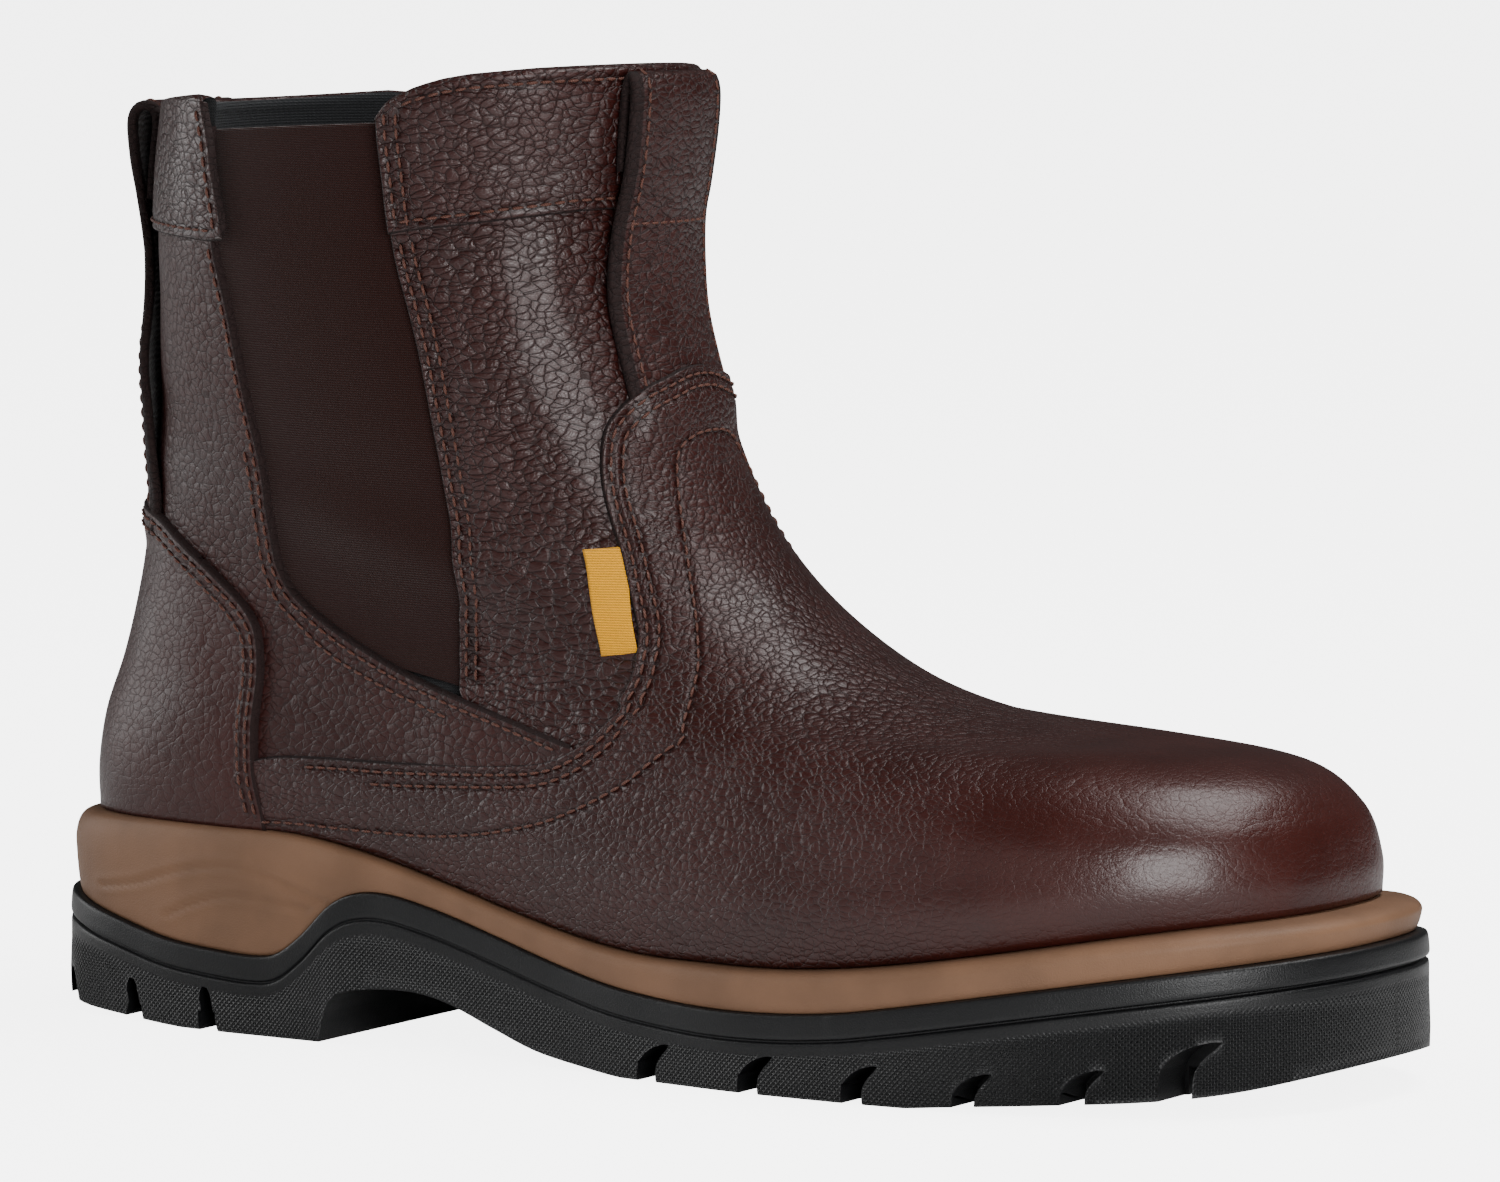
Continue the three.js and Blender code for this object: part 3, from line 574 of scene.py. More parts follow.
class Graph:
    """Short ways to add and join shader nodes in one tree."""

    def __init__(self, tree: bpy.types.NodeTree) -> None:
        """Keeps the tree."""
        self.tree = tree

    def node(self, kind: str, inputs: Optional[dict] = None, **settings: object) -> bpy.types.Node:
        """Adds a node, sets its properties, and fills or joins its inputs by name or number."""
        made = self.tree.nodes.new(kind)
        for key, value in settings.items():
            setattr(made, key, value)
        for key, value in (inputs or {}).items():
            self.feed(made.inputs[key], value)
        return made

    def feed(self, socket: bpy.types.NodeSocket, value: object) -> None:
        """Joins a socket to another, or sets its value."""
        if isinstance(value, bpy.types.NodeSocket):
            self.tree.links.new(value, socket)
        else:
            socket.default_value = value

    def math(self, operation: str, *values: object) -> bpy.types.NodeSocket:
        """The result of a maths node."""
        return self.node("ShaderNodeMath", dict(enumerate(values)), operation=operation).outputs[0]

    def span(self, value: object, low: float, high: float, to_low: float = 0.0, to_high: float = 1.0) -> bpy.types.NodeSocket:
        """A value moved smoothly from one range to another and held at its ends."""
        inputs = {"Value": value, "From Min": low, "From Max": high, "To Min": to_low, "To Max": to_high}
        return self.node("ShaderNodeMapRange", inputs, interpolation_type="SMOOTHSTEP").outputs["Result"]

    def blend(self, share: object, a: object, b: object) -> bpy.types.NodeSocket:
        """A colour between a and b."""
        made = self.node("ShaderNodeMix", data_type="RGBA")
        for index, value in ((0, share), (6, a), (7, b)):
            self.feed(made.inputs[index], value)
        return made.outputs[2]

    def attribute(self, name: str) -> bpy.types.NodeSocket:
        """A value stored on the mesh."""
        return self.node("ShaderNodeAttribute", attribute_name=name).outputs["Fac"]

    def place(self, stretch: tuple[float, float, float] = (1.0, 1.0, 1.0)) -> bpy.types.NodeSocket:
        """Object coordinates in metres, stretched by axis."""
        coordinates = self.node("ShaderNodeTexCoord").outputs["Object"]
        return self.node("ShaderNodeMapping", {"Vector": coordinates, "Scale": stretch}).outputs[0]


def new_group(name: str, inputs: dict[str, float], outputs: dict[str, str]) -> tuple[bpy.types.NodeTree, Graph, bpy.types.Node, bpy.types.Node]:
    """An empty shader node group with named sockets.

    Args:
        name: the group's name.
        inputs: default value of each input; Vector is a vector.
        outputs: kind of each output.

    Returns:
        The group, its graph, and its input and output nodes.
    """
    tree = bpy.data.node_groups.new(name, "ShaderNodeTree")
    tree.interface.new_socket("Vector", in_out="INPUT", socket_type="NodeSocketVector")
    for key, value in inputs.items():
        tree.interface.new_socket(key, in_out="INPUT", socket_type="NodeSocketFloat").default_value = value
    for key, kind in outputs.items():
        tree.interface.new_socket(key, in_out="OUTPUT", socket_type=kind)
    graph = Graph(tree)
    return tree, graph, graph.node("NodeGroupInput"), graph.node("NodeGroupOutput")


def pebble_group() -> bpy.types.NodeTree:
    """Pebbled grain: round-topped cells in two sizes with creases between them, whose mask the leather uses for painted
    shade.

    A cell's height is one minus the square of the distance to its middle, so every cell is a pillow and
    neighbours meet in a sharp valley. The places are first moved by a noise, which makes the cells uneven,
    and the fine cells run over the large ones.
    """
    tree, g, into, out = new_group(
        "pebble_grain",
        {"Cell mm": 2.2, "Wobble": 0.5, "Fine": 0.4},
        {"Height": "NodeSocketFloat", "Crease": "NodeSocketFloat"},
    )
    cell = into.outputs["Cell mm"]
    scale = g.math("DIVIDE", 1000.0, cell)
    wobble = g.node("ShaderNodeTexNoise", {"Vector": into.outputs["Vector"], "Scale": g.math("MULTIPLY", scale, 0.42), "Detail": 1.0})
    centred = g.node("ShaderNodeVectorMath", {0: wobble.outputs["Color"], 1: (0.5, 0.5, 0.5)}, operation="SUBTRACT")
    reach = g.math("MULTIPLY", into.outputs["Wobble"], g.math("MULTIPLY", cell, 0.004))
    moved = g.node("ShaderNodeVectorMath", {0: centred.outputs[0], "Scale": reach}, operation="SCALE")
    place = g.node("ShaderNodeVectorMath", {0: into.outputs["Vector"], 1: moved.outputs[0]}, operation="ADD").outputs[0]
    heights, creases = [], []
    for times, line in ((1.0, 0.1), (2.3, 0.12)):
        inputs = {"Vector": place, "Scale": g.math("MULTIPLY", scale, times)}
        middle = g.node("ShaderNodeTexVoronoi", inputs, feature="F1").outputs["Distance"]
        border = g.node("ShaderNodeTexVoronoi", inputs, feature="DISTANCE_TO_EDGE").outputs["Distance"]
        dome = g.math("SUBTRACT", 1.0, g.math("MULTIPLY", g.math("MULTIPLY", middle, middle), 1.6))
        groove = g.span(border, 0.0, line, 1.0, 0.0)
        heights.append(g.math("SUBTRACT", dome, g.math("MULTIPLY", groove, 0.35)))
        creases.append(groove)
    fine = into.outputs["Fine"]
    low = g.math("MULTIPLY", g.math("SUBTRACT", heights[1], 1.0), fine)
    g.feed(out.inputs["Height"], g.math("ADD", heights[0], low))
    g.feed(out.inputs["Crease"], g.math("MAXIMUM", creases[0], g.math("MULTIPLY", creases[1], fine)))
    return tree


def wear_group() -> bpy.types.NodeTree:
    """Slow patches and fine specks, both from 0 to 1, that vary a finish from place to place."""
    tree, g, into, out = new_group(
        "patches_and_specks",
        {"Patch mm": 30.0, "Speck mm": 0.6},
        {"Patch": "NodeSocketFloat", "Speck": "NodeSocketFloat"},
    )
    for name, key, detail in (("Patch", "Patch mm", 3.0), ("Speck", "Speck mm", 2.0)):
        scale = g.math("DIVIDE", 1000.0, into.outputs[key])
        noise = g.node("ShaderNodeTexNoise", {"Vector": into.outputs["Vector"], "Scale": scale, "Detail": detail})
        g.feed(out.inputs[name], g.span(noise.outputs["Fac"], 0.3, 0.7))
    return tree


def rib_group() -> bpy.types.NodeTree:
    """Ribs across one direction with a finer beat along the other: a sine of each coordinate."""
    tree, g, into, out = new_group(
        "ribs",
        {"Rib mm": 0.9, "Beat mm": 0.7},
        {"Height": "NodeSocketFloat"},
    )
    axes = g.node("ShaderNodeSeparateXYZ", {0: into.outputs["Vector"]})
    turns = 2000.0 * math.pi
    rib = g.math("SINE", g.math("DIVIDE", g.math("MULTIPLY", axes.outputs["Z"], turns), into.outputs["Rib mm"]))
    beat = g.math("SINE", g.math("DIVIDE", g.math("MULTIPLY", axes.outputs["X"], turns), into.outputs["Beat mm"]))
    height = g.math("ADD", g.math("MULTIPLY", rib, 0.5), g.math("MULTIPLY", g.math("MULTIPLY", beat, rib), 0.3))
    g.feed(out.inputs["Height"], g.math("ADD", height, 0.5))
    return tree


@dataclass(frozen=True)
class Finish:
    """Base colour, roughness and gloss coat that every finish shares."""

    name: str
    color: tuple[float, float, float]
    roughness: float = 0.5
    coat: float = 0.0
    coat_roughness: float = 0.3
    specular: float = 0.5

    def start(self) -> tuple[bpy.types.Material, Graph, bpy.types.Node]:
        """A new material with its shader, set from the fields."""
        material = bpy.data.materials.new(self.name)
        material.use_nodes = True
        material.diffuse_color = (*self.color, 1.0)
        graph = Graph(material.node_tree)
        shader = material.node_tree.nodes["Principled BSDF"]
        shader.inputs["Base Color"].default_value = (*self.color, 1.0)
        shader.inputs["Roughness"].default_value = self.roughness
        shader.inputs["Coat Weight"].default_value = self.coat
        shader.inputs["Coat Roughness"].default_value = self.coat_roughness
        shader.inputs["Specular IOR Level"].default_value = self.specular
        return material, graph, shader

    def shade(self, factor: float) -> tuple[float, float, float, float]:
        """The base colour made darker or lighter."""
        return (*(min(1.0, part * factor) for part in self.color), 1.0)


@dataclass(frozen=True)
class Leather(Finish):
    """Pebbled leather with painted shade in its creases and along its sunk seams, and darker cut edges."""

    cell: float = 2.2
    stretch: tuple[float, float, float] = (1.0, 1.0, 1.35)
    depth: float = 0.3
    fine: float = 0.45
    raw: float = 0.8
    warm: tuple[float, float, float] = (0.04, 0.006, 0.0036)

    def make(self, groups: dict[str, bpy.types.NodeTree]) -> bpy.types.Material:
        """Builds the material.

        Args:
            groups: shared node groups by name.

        Returns:
            The material, which reads the attributes edge_mm, seam_mm and grain.
        """
        material, g, shader = self.start()
        grain = g.node("ShaderNodeGroup", {"Wobble": 0.36, "Fine": self.fine}, node_tree=groups["pebble"])
        g.feed(grain.inputs["Vector"], g.place(self.stretch))
        g.feed(grain.inputs["Cell mm"], self.cell)
        wear = g.node("ShaderNodeGroup", {"Patch mm": 21.0, "Speck mm": 0.42}, node_tree=groups["wear"])
        g.feed(wear.inputs["Vector"], g.place())
        edge, seam, strength = g.attribute("edge_mm"), g.attribute("seam_mm"), g.attribute("grain")
        patch = wear.outputs["Patch"]
        crease = g.math("MINIMUM", g.math("MULTIPLY", grain.outputs["Crease"], strength), 1.0)
        tone = g.blend(patch, self.shade(0.85), self.shade(1.15))
        polished = g.math("SUBTRACT", 1.0, g.span(strength, 0.1, 0.55))
        tone = g.blend(g.math("MULTIPLY", polished, g.math("ADD", g.math("MULTIPLY", patch, 0.5), 0.4)), tone, (*self.warm, 1.0))
        # painted shade: the grain's creases are darkened in the base colour
        tone = g.blend(g.math("MULTIPLY", crease, 0.7), tone, self.shade(0.3))
        cut = g.span(edge, self.raw, self.raw + 0.4, 1.0, 0.0)
        # painted shade: the leather is darkened along the sunk seams; the cut edges take a dark edge colour
        sunk = g.span(seam, 0.3, 1.0, 0.5, 0.0)
        tone = g.blend(g.math("MAXIMUM", g.math("MULTIPLY", cut, 0.85), sunk), tone, self.shade(0.22))
        g.feed(shader.inputs["Base Color"], tone)
        rough = g.math("ADD", self.roughness, g.math("MULTIPLY", crease, 0.2))
        rough = g.math("ADD", rough, g.math("MULTIPLY", g.math("SUBTRACT", patch, 0.5), 0.1))
        g.feed(shader.inputs["Roughness"], g.math("MAXIMUM", rough, g.math("MULTIPLY", cut, 0.85)))
        g.feed(shader.inputs["Coat Weight"], g.math("MULTIPLY", g.math("SUBTRACT", 1.0, g.math("MAXIMUM", crease, cut)), self.coat))
        uneven = g.math("ADD", g.math("MULTIPLY", patch, 0.5), 0.7)
        relief = g.math("MULTIPLY", g.math("MULTIPLY", strength, uneven), self.depth)
        height = g.math("MULTIPLY", grain.outputs["Height"], relief)
        height = g.math("ADD", height, g.math("MULTIPLY", g.span(seam, 0.0, 1.4, 1.0, 0.0), -0.25))
        height = g.math("ADD", height, g.math("MULTIPLY", wear.outputs["Speck"], 0.022))
        bump = g.node("ShaderNodeBump", {"Height": height, "Distance": 0.001, "Strength": 1.0})
        g.feed(shader.inputs["Normal"], bump.outputs[0])
        return material


@dataclass(frozen=True)
class Cloth(Finish):
    """Ribbed elastic or plain textile."""

    rib: float = 0.9
    beat: float = 0.7
    depth: float = 0.25

    def make(self, groups: dict[str, bpy.types.NodeTree]) -> bpy.types.Material:
        """Builds the material from the shared groups."""
        material, g, shader = self.start()
        ribs = g.node("ShaderNodeGroup", {"Rib mm": self.rib, "Beat mm": self.beat}, node_tree=groups["ribs"])
        g.feed(ribs.inputs["Vector"], g.place())
        wear = g.node("ShaderNodeGroup", {"Patch mm": 22.0, "Speck mm": 0.45}, node_tree=groups["wear"])
        g.feed(wear.inputs["Vector"], g.place())
        # painted shade and painted highlight: the grooves between the ribs are darker and the rib tops lighter in the
        # base colour
        tone = g.blend(ribs.outputs["Height"], self.shade(0.62), self.shade(1.25))
        tone = g.blend(g.math("MULTIPLY", wear.outputs["Speck"], 0.3), tone, self.shade(0.7))
        g.feed(shader.inputs["Base Color"], tone)
        g.feed(shader.inputs["Roughness"], g.math("ADD", self.roughness, g.math("MULTIPLY", wear.outputs["Patch"], 0.05)))
        height = g.math("ADD", ribs.outputs["Height"], g.math("MULTIPLY", wear.outputs["Speck"], 0.35))
        bump = g.node("ShaderNodeBump", {"Height": height, "Distance": 0.001 * self.depth, "Strength": 1.0})
        g.feed(shader.inputs["Normal"], bump.outputs[0])
        shader.inputs["Sheen Weight"].default_value = 0.15
        return material


@dataclass(frozen=True)
class Rubber(Finish):
    """Moulded rubber or foam, plain or with a crossed pattern where the attribute knurl is 1."""

    knurl: float = 0.0
    speck: float = 0.03

    def make(self, groups: dict[str, bpy.types.NodeTree]) -> bpy.types.Material:
        """Builds the material; the pattern is the product of two slanted sines of the piece's own map."""
        material, g, shader = self.start()
        wear = g.node("ShaderNodeGroup", {"Patch mm": 18.0, "Speck mm": 0.35}, node_tree=groups["wear"])
        g.feed(wear.inputs["Vector"], g.place())
        tone = g.blend(wear.outputs["Patch"], self.shade(0.86), self.shade(1.12))
        height = g.math("MULTIPLY", wear.outputs["Speck"], self.speck)
        if self.knurl:
            flat = g.node("ShaderNodeUVMap", uv_map="surface").outputs[0]
            axes = g.node("ShaderNodeSeparateXYZ", {0: flat})
            turn = 2 * math.pi / self.knurl
            one = g.math("SINE", g.math("MULTIPLY", g.math("ADD", axes.outputs["X"], axes.outputs["Y"]), turn))
            two = g.math("SINE", g.math("MULTIPLY", g.math("SUBTRACT", axes.outputs["X"], axes.outputs["Y"]), turn))
            mask = g.attribute("knurl")
            raised = g.math("MULTIPLY", g.math("MULTIPLY", g.math("ABSOLUTE", one), g.math("ABSOLUTE", two)), mask)
            height = g.math("ADD", height, g.math("MULTIPLY", raised, 0.8))
            # painted highlight: the raised parts of the crossed pattern are lighter in the base colour
            tone = g.blend(g.math("MULTIPLY", raised, 0.5), tone, self.shade(2.2))
        g.feed(shader.inputs["Base Color"], tone)
        g.feed(shader.inputs["Roughness"], g.math("ADD", self.roughness - 0.04, g.math("MULTIPLY", wear.outputs["Speck"], 0.08)))
        bump = g.node("ShaderNodeBump", {"Height": height, "Distance": 0.001, "Strength": 1.0})
        g.feed(shader.inputs["Normal"], bump.outputs[0])
        return material


@dataclass(frozen=True)
class Thread(Finish):
    """Twisted sewing thread."""

    twist: float = 0.35

    def make(self, groups: dict[str, bpy.types.NodeTree]) -> bpy.types.Material:
        """Builds the material: slanted stripes across the twist, darker in its grooves as painted shade and lighter on
        the strands as painted highlight.
        """
        material, g, shader = self.start()
        wave = g.node("ShaderNodeTexWave", {"Vector": g.place(), "Scale": 0.314 / (self.twist * MILLIMETRE), "Distortion": 1.0}, bands_direction="DIAGONAL")
        # painted shade and painted highlight: the colour follows the twist's relief
        g.feed(shader.inputs["Base Color"], g.blend(wave.outputs["Fac"], self.shade(0.55), self.shade(1.2)))
        bump = g.node("ShaderNodeBump", {"Height": wave.outputs["Fac"], "Distance": 0.0001, "Strength": 1.0})
        g.feed(shader.inputs["Normal"], bump.outputs[0])
        return material


class Wardrobe:
    """All finishes, built once."""

    def __init__(self) -> None:
        """Builds the node groups and the materials."""
        groups = {"pebble": pebble_group(), "wear": wear_group(), "ribs": rib_group()}
        hide = (0.0285, 0.0052, 0.0038)
        self.shaft_leather = Leather("shaft_leather", hide, 0.34, 0.2, 0.16, 0.4, cell=2.5, stretch=(1.0, 1.0, 1.6), depth=0.45, fine=0.16, raw=0.35).make(groups)
        self.quarter_leather = Leather("quarter_leather", hide, 0.43, 0.1, 0.25, 0.35, cell=2.2, depth=0.27, fine=0.16).make(groups)
        self.vamp_leather = Leather("vamp_leather", hide, 0.36, 0.15, 0.18, 0.4, cell=1.8, stretch=(1.0, 1.0, 1.35), depth=0.27, fine=0.16, raw=0.3).make(groups)
        self.strap_leather = Leather("strap_leather", hide, 0.42, 0.12, 0.2, 0.35, cell=2.4, stretch=(1.0, 1.0, 1.6), depth=0.4, fine=0.16, raw=1.2).make(groups)
        self.suede = Cloth("suede_side", (0.02, 0.0085, 0.0065), 0.95, rib=1.3, beat=0.9, depth=0.2, specular=0.2).make(groups)
        self.elastic = Cloth("elastic_webbing", (0.019, 0.0042, 0.0026), 0.9, rib=0.5, beat=0.42, depth=0.1, specular=0.06).make(groups)
        self.lining = Cloth("textile_lining", (0.024, 0.025, 0.027), 0.9, rib=0.6, beat=0.6, specular=0.2, depth=0.12).make(groups)
        self.footbed = Cloth("footbed_textile", (0.024, 0.026, 0.029), 0.95, rib=1.6, beat=1.6, specular=0.2).make(groups)
        self.label = Cloth("yellow_woven_tab", (0.8, 0.35, 0.0), 0.75, rib=0.5, beat=0.5, depth=0.12, specular=0.3).make(groups)
        self.foam = Rubber("tan_foam", (0.17, 0.09, 0.05), 0.55, specular=0.3).make(groups)
        self.rubber = Rubber("black_rubber", (0.0045, 0.0047, 0.0052), 0.4, specular=0.35, knurl=2.4).make(groups)
        self.thread = Thread("brown_thread", (0.1, 0.031, 0.018), 0.6).make(groups)


# ---------------------------------------------------------------- panels of the upper

EDGE_COLUMNS = np.array([0.0, 0.04, 0.12, 0.25, 0.42, 0.65, 1.0, 1.5, 2.2])


def edge_profile(distance: Array, height: float, sink: float = 0.3, radius: float = 0.65) -> Array:
    """Height of a panel near its cut edge: a quarter ellipse from sink below the surface up to height."""
    t = np.clip(distance / radius, 0.0, 1.0)
    return -sink + (height + sink) * np.sqrt(np.maximum(0.0, 1.0 - (1.0 - t) ** 2))


@dataclass
class Crease:
    """A soft trough or ridge across the leather, from one side-view place to another.

    Depth is in millimetres, negative for a trough, and width is how far it spreads.
    """

    start: tuple[float, float]
    bend: tuple[float, float]
    end: tuple[float, float]
    width: float
    depth: float

    def lift(self, points: Array) -> Array:
        """How far the crease moves each point: a hump across its line that fades at both ends."""
        line = spline(np.array([self.start, self.bend, self.end]), 1.0)
        distance = distance_to(points[..., [0, 2]], line)
        return self.depth * bump_at(distance, self.width)


CREASES = [
    Crease((24.0, 128.0), (36.0, 118.0), (50.0, 112.0), 5.0, -0.3),
    Crease((22.0, 116.0), (36.0, 108.0), (52.0, 101.0), 4.0, 0.25),
    Crease((36.0, 92.0), (48.0, 74.0), (52.0, 54.0), 7.0, -0.3),
    Crease((70.0, 74.0), (90.0, 68.0), (112.0, 63.0), 4.0, 0.2),
    Crease((118.0, 150.0), (112.0, 128.0), (110.0, 100.0), 8.0, 0.35),
]


@dataclass
class Panel:
    """A leather panel between two lines that run up the boot, cut along given lines.

    outer and inner give its angle by section number on each half; low and high give its first and last
    section number by angle.
    """

    name: str
    outer: Callable[[Array], Array]
    inner: Callable[[Array], Array]
    low: Callable[[Array], Array]
    high: Callable[[Array], Array]
    rows: Array
    columns: int
    height: float
    cuts: list[Array]
    sink: float = 0.3
    seams: list[Array] = field(default_factory=list)
    lift: Optional[Callable[[Array], Array]] = None
    grain: float = 1.0

    def grid(self) -> tuple[Array, Array]:
        """Angles and section numbers of the panel's grid.

        Each row is measured along the surface, its first and last columns stand at fixed short distances
        from the cut edges, and the rest are spread evenly between them.
        """
        share = np.linspace(0.0, 1.0, 200)[None, :]
        w = self.rows[:, None]
        theta = mix(self.outer(np.full_like(w, 8.0)), self.inner(np.full_like(w, 8.0)), share) * np.ones_like(w)
        v = w * np.ones_like(share)
        for _ in range(5):
            v = mix(self.low(theta), self.high(theta), w)
            theta = mix(self.outer(v), self.inner(v), share)
        points = LAST.point(theta, v)
        steps = np.linalg.norm(np.diff(points, axis=1), axis=2)
        length = np.concatenate([np.zeros((len(w), 1)), np.cumsum(steps, axis=1)], axis=1)
        result = np.empty((len(w), self.columns))
        for i, row in enumerate(length):
            fine = EDGE_COLUMNS * min(1.0, row[-1] / (3.0 * EDGE_COLUMNS[-1]))
            middle = np.linspace(fine[-1], row[-1] - fine[-1], self.columns - 2 * len(fine) + 2)[1:-1]
            wanted = np.concatenate([fine, middle, row[-1] - fine[::-1]])
            result[i] = np.interp(wanted, row, theta[i])
        v = mix(self.low(result), self.high(result), w)
        return result, v

    def surface(self) -> tuple[Array, Array, Array, Array]:
        """Points in design millimetres, distance to the cut edges, distance to the seams, and the grid."""
        theta, v = self.grid()
        base = LAST.point(theta, v)
        edge = np.min([distance_to(base, cut) for cut in self.cuts], axis=0) if self.cuts else np.full(theta.shape, 50.0)
        seam = np.min([distance_to(base, line) for line in self.seams], axis=0) if self.seams else np.full(theta.shape, 50.0)
        offset = edge_profile(edge, self.height, self.sink)
        if self.lift is not None:
            offset = offset + self.lift(base)
        soft = sum(crease.lift(base) for crease in CREASES) * smooth(edge / 6.0)
        offset = offset + soft - 0.22 * bump_at(seam, 0.9) * smooth(edge / 0.8)
        return LAST.place(theta, v, offset), edge, seam, np.stack([theta, v], axis=-1)


def grain_strength(points: Array) -> Array:
    """How strong the grain is: full on the shaft, less low on the sides, faint where it is drawn over the toe."""
    toe = smooth((points[..., 0] - 190.0) / 62.0)
    low = 1.0 - smooth((points[..., 2] - 42.0) / 40.0)
    return (1.0 - 0.78 * toe) * (1.0 - 0.35 * low)


class Upper:
    """The leather panels, elastic panels, lining and label."""

    def __init__(self, finishes: Wardrobe) -> None:
        """Lays every line of the pattern on both halves of the boot."""
        self.finishes = finishes
        lines = Outlines
        self.gore_front = {s: Path.from_table(lines.gore_front, s) for s in Side}
        self.gore_back = {s: Path.from_table(lines.gore_back, s) for s in Side}
        self.band_back = {s: Path.from_table(lines.band_back, s, 1.0) for s in Side}
        self.vamp = {s: Path.from_table(lines.vamp_edge, s) for s in Side}
        self.counter = {s: Path.from_table(lines.counter_edge, s) for s in Side}

    @staticmethod
    def rows_for(paths: list[Callable[[Array], Array]], low: float, high: float, step: float) -> Array:
        """Row shares from low to high section so that no step along any of the paths is longer than step."""
        v = np.linspace(low, high, 1500)
        longest = np.zeros(len(v) - 1)
        for path in paths:
            points = LAST.point(path(v), v)
            longest = np.maximum(longest, np.linalg.norm(np.diff(points, axis=0), axis=1))
        length = np.concatenate([[0.0], np.cumsum(longest)])
        count = int(length[-1] / step)
        fine = EDGE_COLUMNS[:-1]
        wanted = np.concatenate([np.linspace(0.0, length[-1] - EDGE_COLUMNS[-1], count), length[-1] - fine[::-1]])
        return (np.interp(wanted, length, v) - low) / (high - low)

    def panel_piece(self, panel: Panel, materials: list[bpy.types.Material], slot: str, *nodes: str) -> bpy.types.Object:
        """Makes and dresses the object of one panel."""
        points, edge, seam, _ = panel.surface()
        values = {"edge_mm": edge, "seam_mm": seam, "grain": grain_strength(points) * panel.grain}
        quads = grid_quads(*points.shape[:2])
        piece = mesh_object(panel.name, to_frame(points).reshape(-1, 3), quads, attributes=values)
        return dress(piece, materials, slot, *nodes)

    def build(self) -> None:
        """Builds every panel from the inside out."""
        constant = lambda value: (lambda theta: np.full(np.shape(theta), float(value)))
        centre = lambda v: np.zeros_like(v)
        turn = 2.0 * HALF_TURN
        around = lambda paths: (paths[Side.OUTER].angle, lambda v: paths[Side.INNER].angle(v) + turn)
        front_edge = [self.gore_front[s].angle for s in (Side.OUTER, Side.INNER)]
        front = Panel(
            "shaft_front", front_edge[0], front_edge[1], constant(3.0), constant(12.3),
            self.rows_for([front_edge[0], centre], 3.0, 12.3, 1.3), 130, 0.0,
            [self.gore_front[s].points() for s in Side], 1.6, self.seam_points("shaft_front"),
        )
        self.panel_piece(front, [self.finishes.shaft_leather], "leather", "upper")

        back_edge = around(self.gore_back)
        back = Panel(
            "shaft_back", back_edge[0], back_edge[1], constant(1.0), constant(12.6),
            self.rows_for([back_edge[0]], 1.0, 12.6, 1.1), 200, 0.0,
            [self.gore_back[s].points() for s in Side], 1.6, self.seam_points("shaft_back"), arm_lift, 0.8,
        )
        self.panel_piece(back, [self.finishes.quarter_leather], "leather", "upper")

        side_angle, top_section = split(self.vamp[Side.OUTER], Outlines.vamp_corner)
        mirrored = lambda v: -side_angle(v)
        vamp = Panel(
            "vamp", side_angle, mirrored, constant(-0.08), top_section,
            self.rows_for([side_angle, centre], -0.08, 10.02, 1.4), 300, 1.25,
            [self.vamp[s].points() for s in Side], 0.3, self.seam_points("vamp"), over_strap,
        )
        self.panel_piece(vamp, [self.finishes.vamp_leather], "leather", "upper")

        heel_angle, peak_section = split(self.counter[Side.OUTER], Outlines.counter_corner)
        heel_other = lambda v: turn - heel_angle(v)
        counter = Panel(
            "heel_counter", heel_angle, heel_other, constant(-0.08), peak_section,
            self.rows_for([heel_angle], -0.08, 6.04, 1.0), 150, 1.5,
            [self.counter[s].points() for s in Side], 0.3, self.seam_points("counter"), over_back_strap, 0.45,
        )
        self.panel_piece(counter, [self.finishes.quarter_leather], "leather", "counter")

        self.band("collar_band_front", front_edge[0], front_edge[1], "collar_band_front")
        self.band("collar_band_back", *around(self.band_back), "collar_band_back")
        for side in Side:
            self.gore(side)
        self.lining()
        self.label()

    def band(self, name: str, outer: Callable, inner: Callable, node: str) -> None:
        """One half of the collar band: up the outside, over the rim and down inside as the facing."""
        rows = np.concatenate([[0.0, 0.002, 0.006, 0.014, 0.026], np.linspace(0.045, 1.0, 30)])
        across = np.linspace(float(outer(np.array(11.4))), float(inner(np.array(11.4))), 300)
        v = np.linspace(11.2, COLLAR, 60)
        cuts = [np.stack([across, Outlines.band_low(across)], axis=1), np.stack([outer(v), v], axis=1), np.stack([inner(v), v], axis=1)]
        panel = Panel(
            name, outer, inner, Outlines.band_low, Outlines.rim, rows, 120, 1.3,
            [Path(cut).points() for cut in cuts], 0.3, self.seam_points(name), None, 0.9,
        )
        points, edge, seam, grid = panel.surface()
        theta, v = grid[-1, :, 0], grid[-1, :, 1]
        over = [(1.15, 0.35), (0.7, 0.75), (0.0, 1.0), (-1.2, 1.05), (-2.0, 0.8), (-2.4, 0.2), (-2.5, -1.0)]
        extra = [LAST.place(theta, v, np.full(theta.shape, off)) + np.array([0.0, 0.0, up]) for off, up in over]
        extra += [LAST.place(theta, v - drop, np.full(theta.shape, -2.5)) for drop in np.linspace(0.1, 1.6, 16)]
        points = np.concatenate([points, np.stack(extra)])
        fill = np.full((len(extra), points.shape[1]), 50.0)
        edge, seam = np.concatenate([edge, fill]), np.concatenate([seam, fill])
        quads = grid_quads(*points.shape[:2])
        slots = np.repeat(np.arange(len(points) - 1) >= len(rows) + 4, points.shape[1] - 1).astype(int)
        values = {"edge_mm": edge, "seam_mm": seam, "grain": np.ones(edge.shape) * panel.grain}
        piece = mesh_object(name, to_frame(points).reshape(-1, 3), quads, attributes=values, faces_slot=slots)
        dress(piece, [self.finishes.shaft_leather, self.finishes.lining], "leather", node)

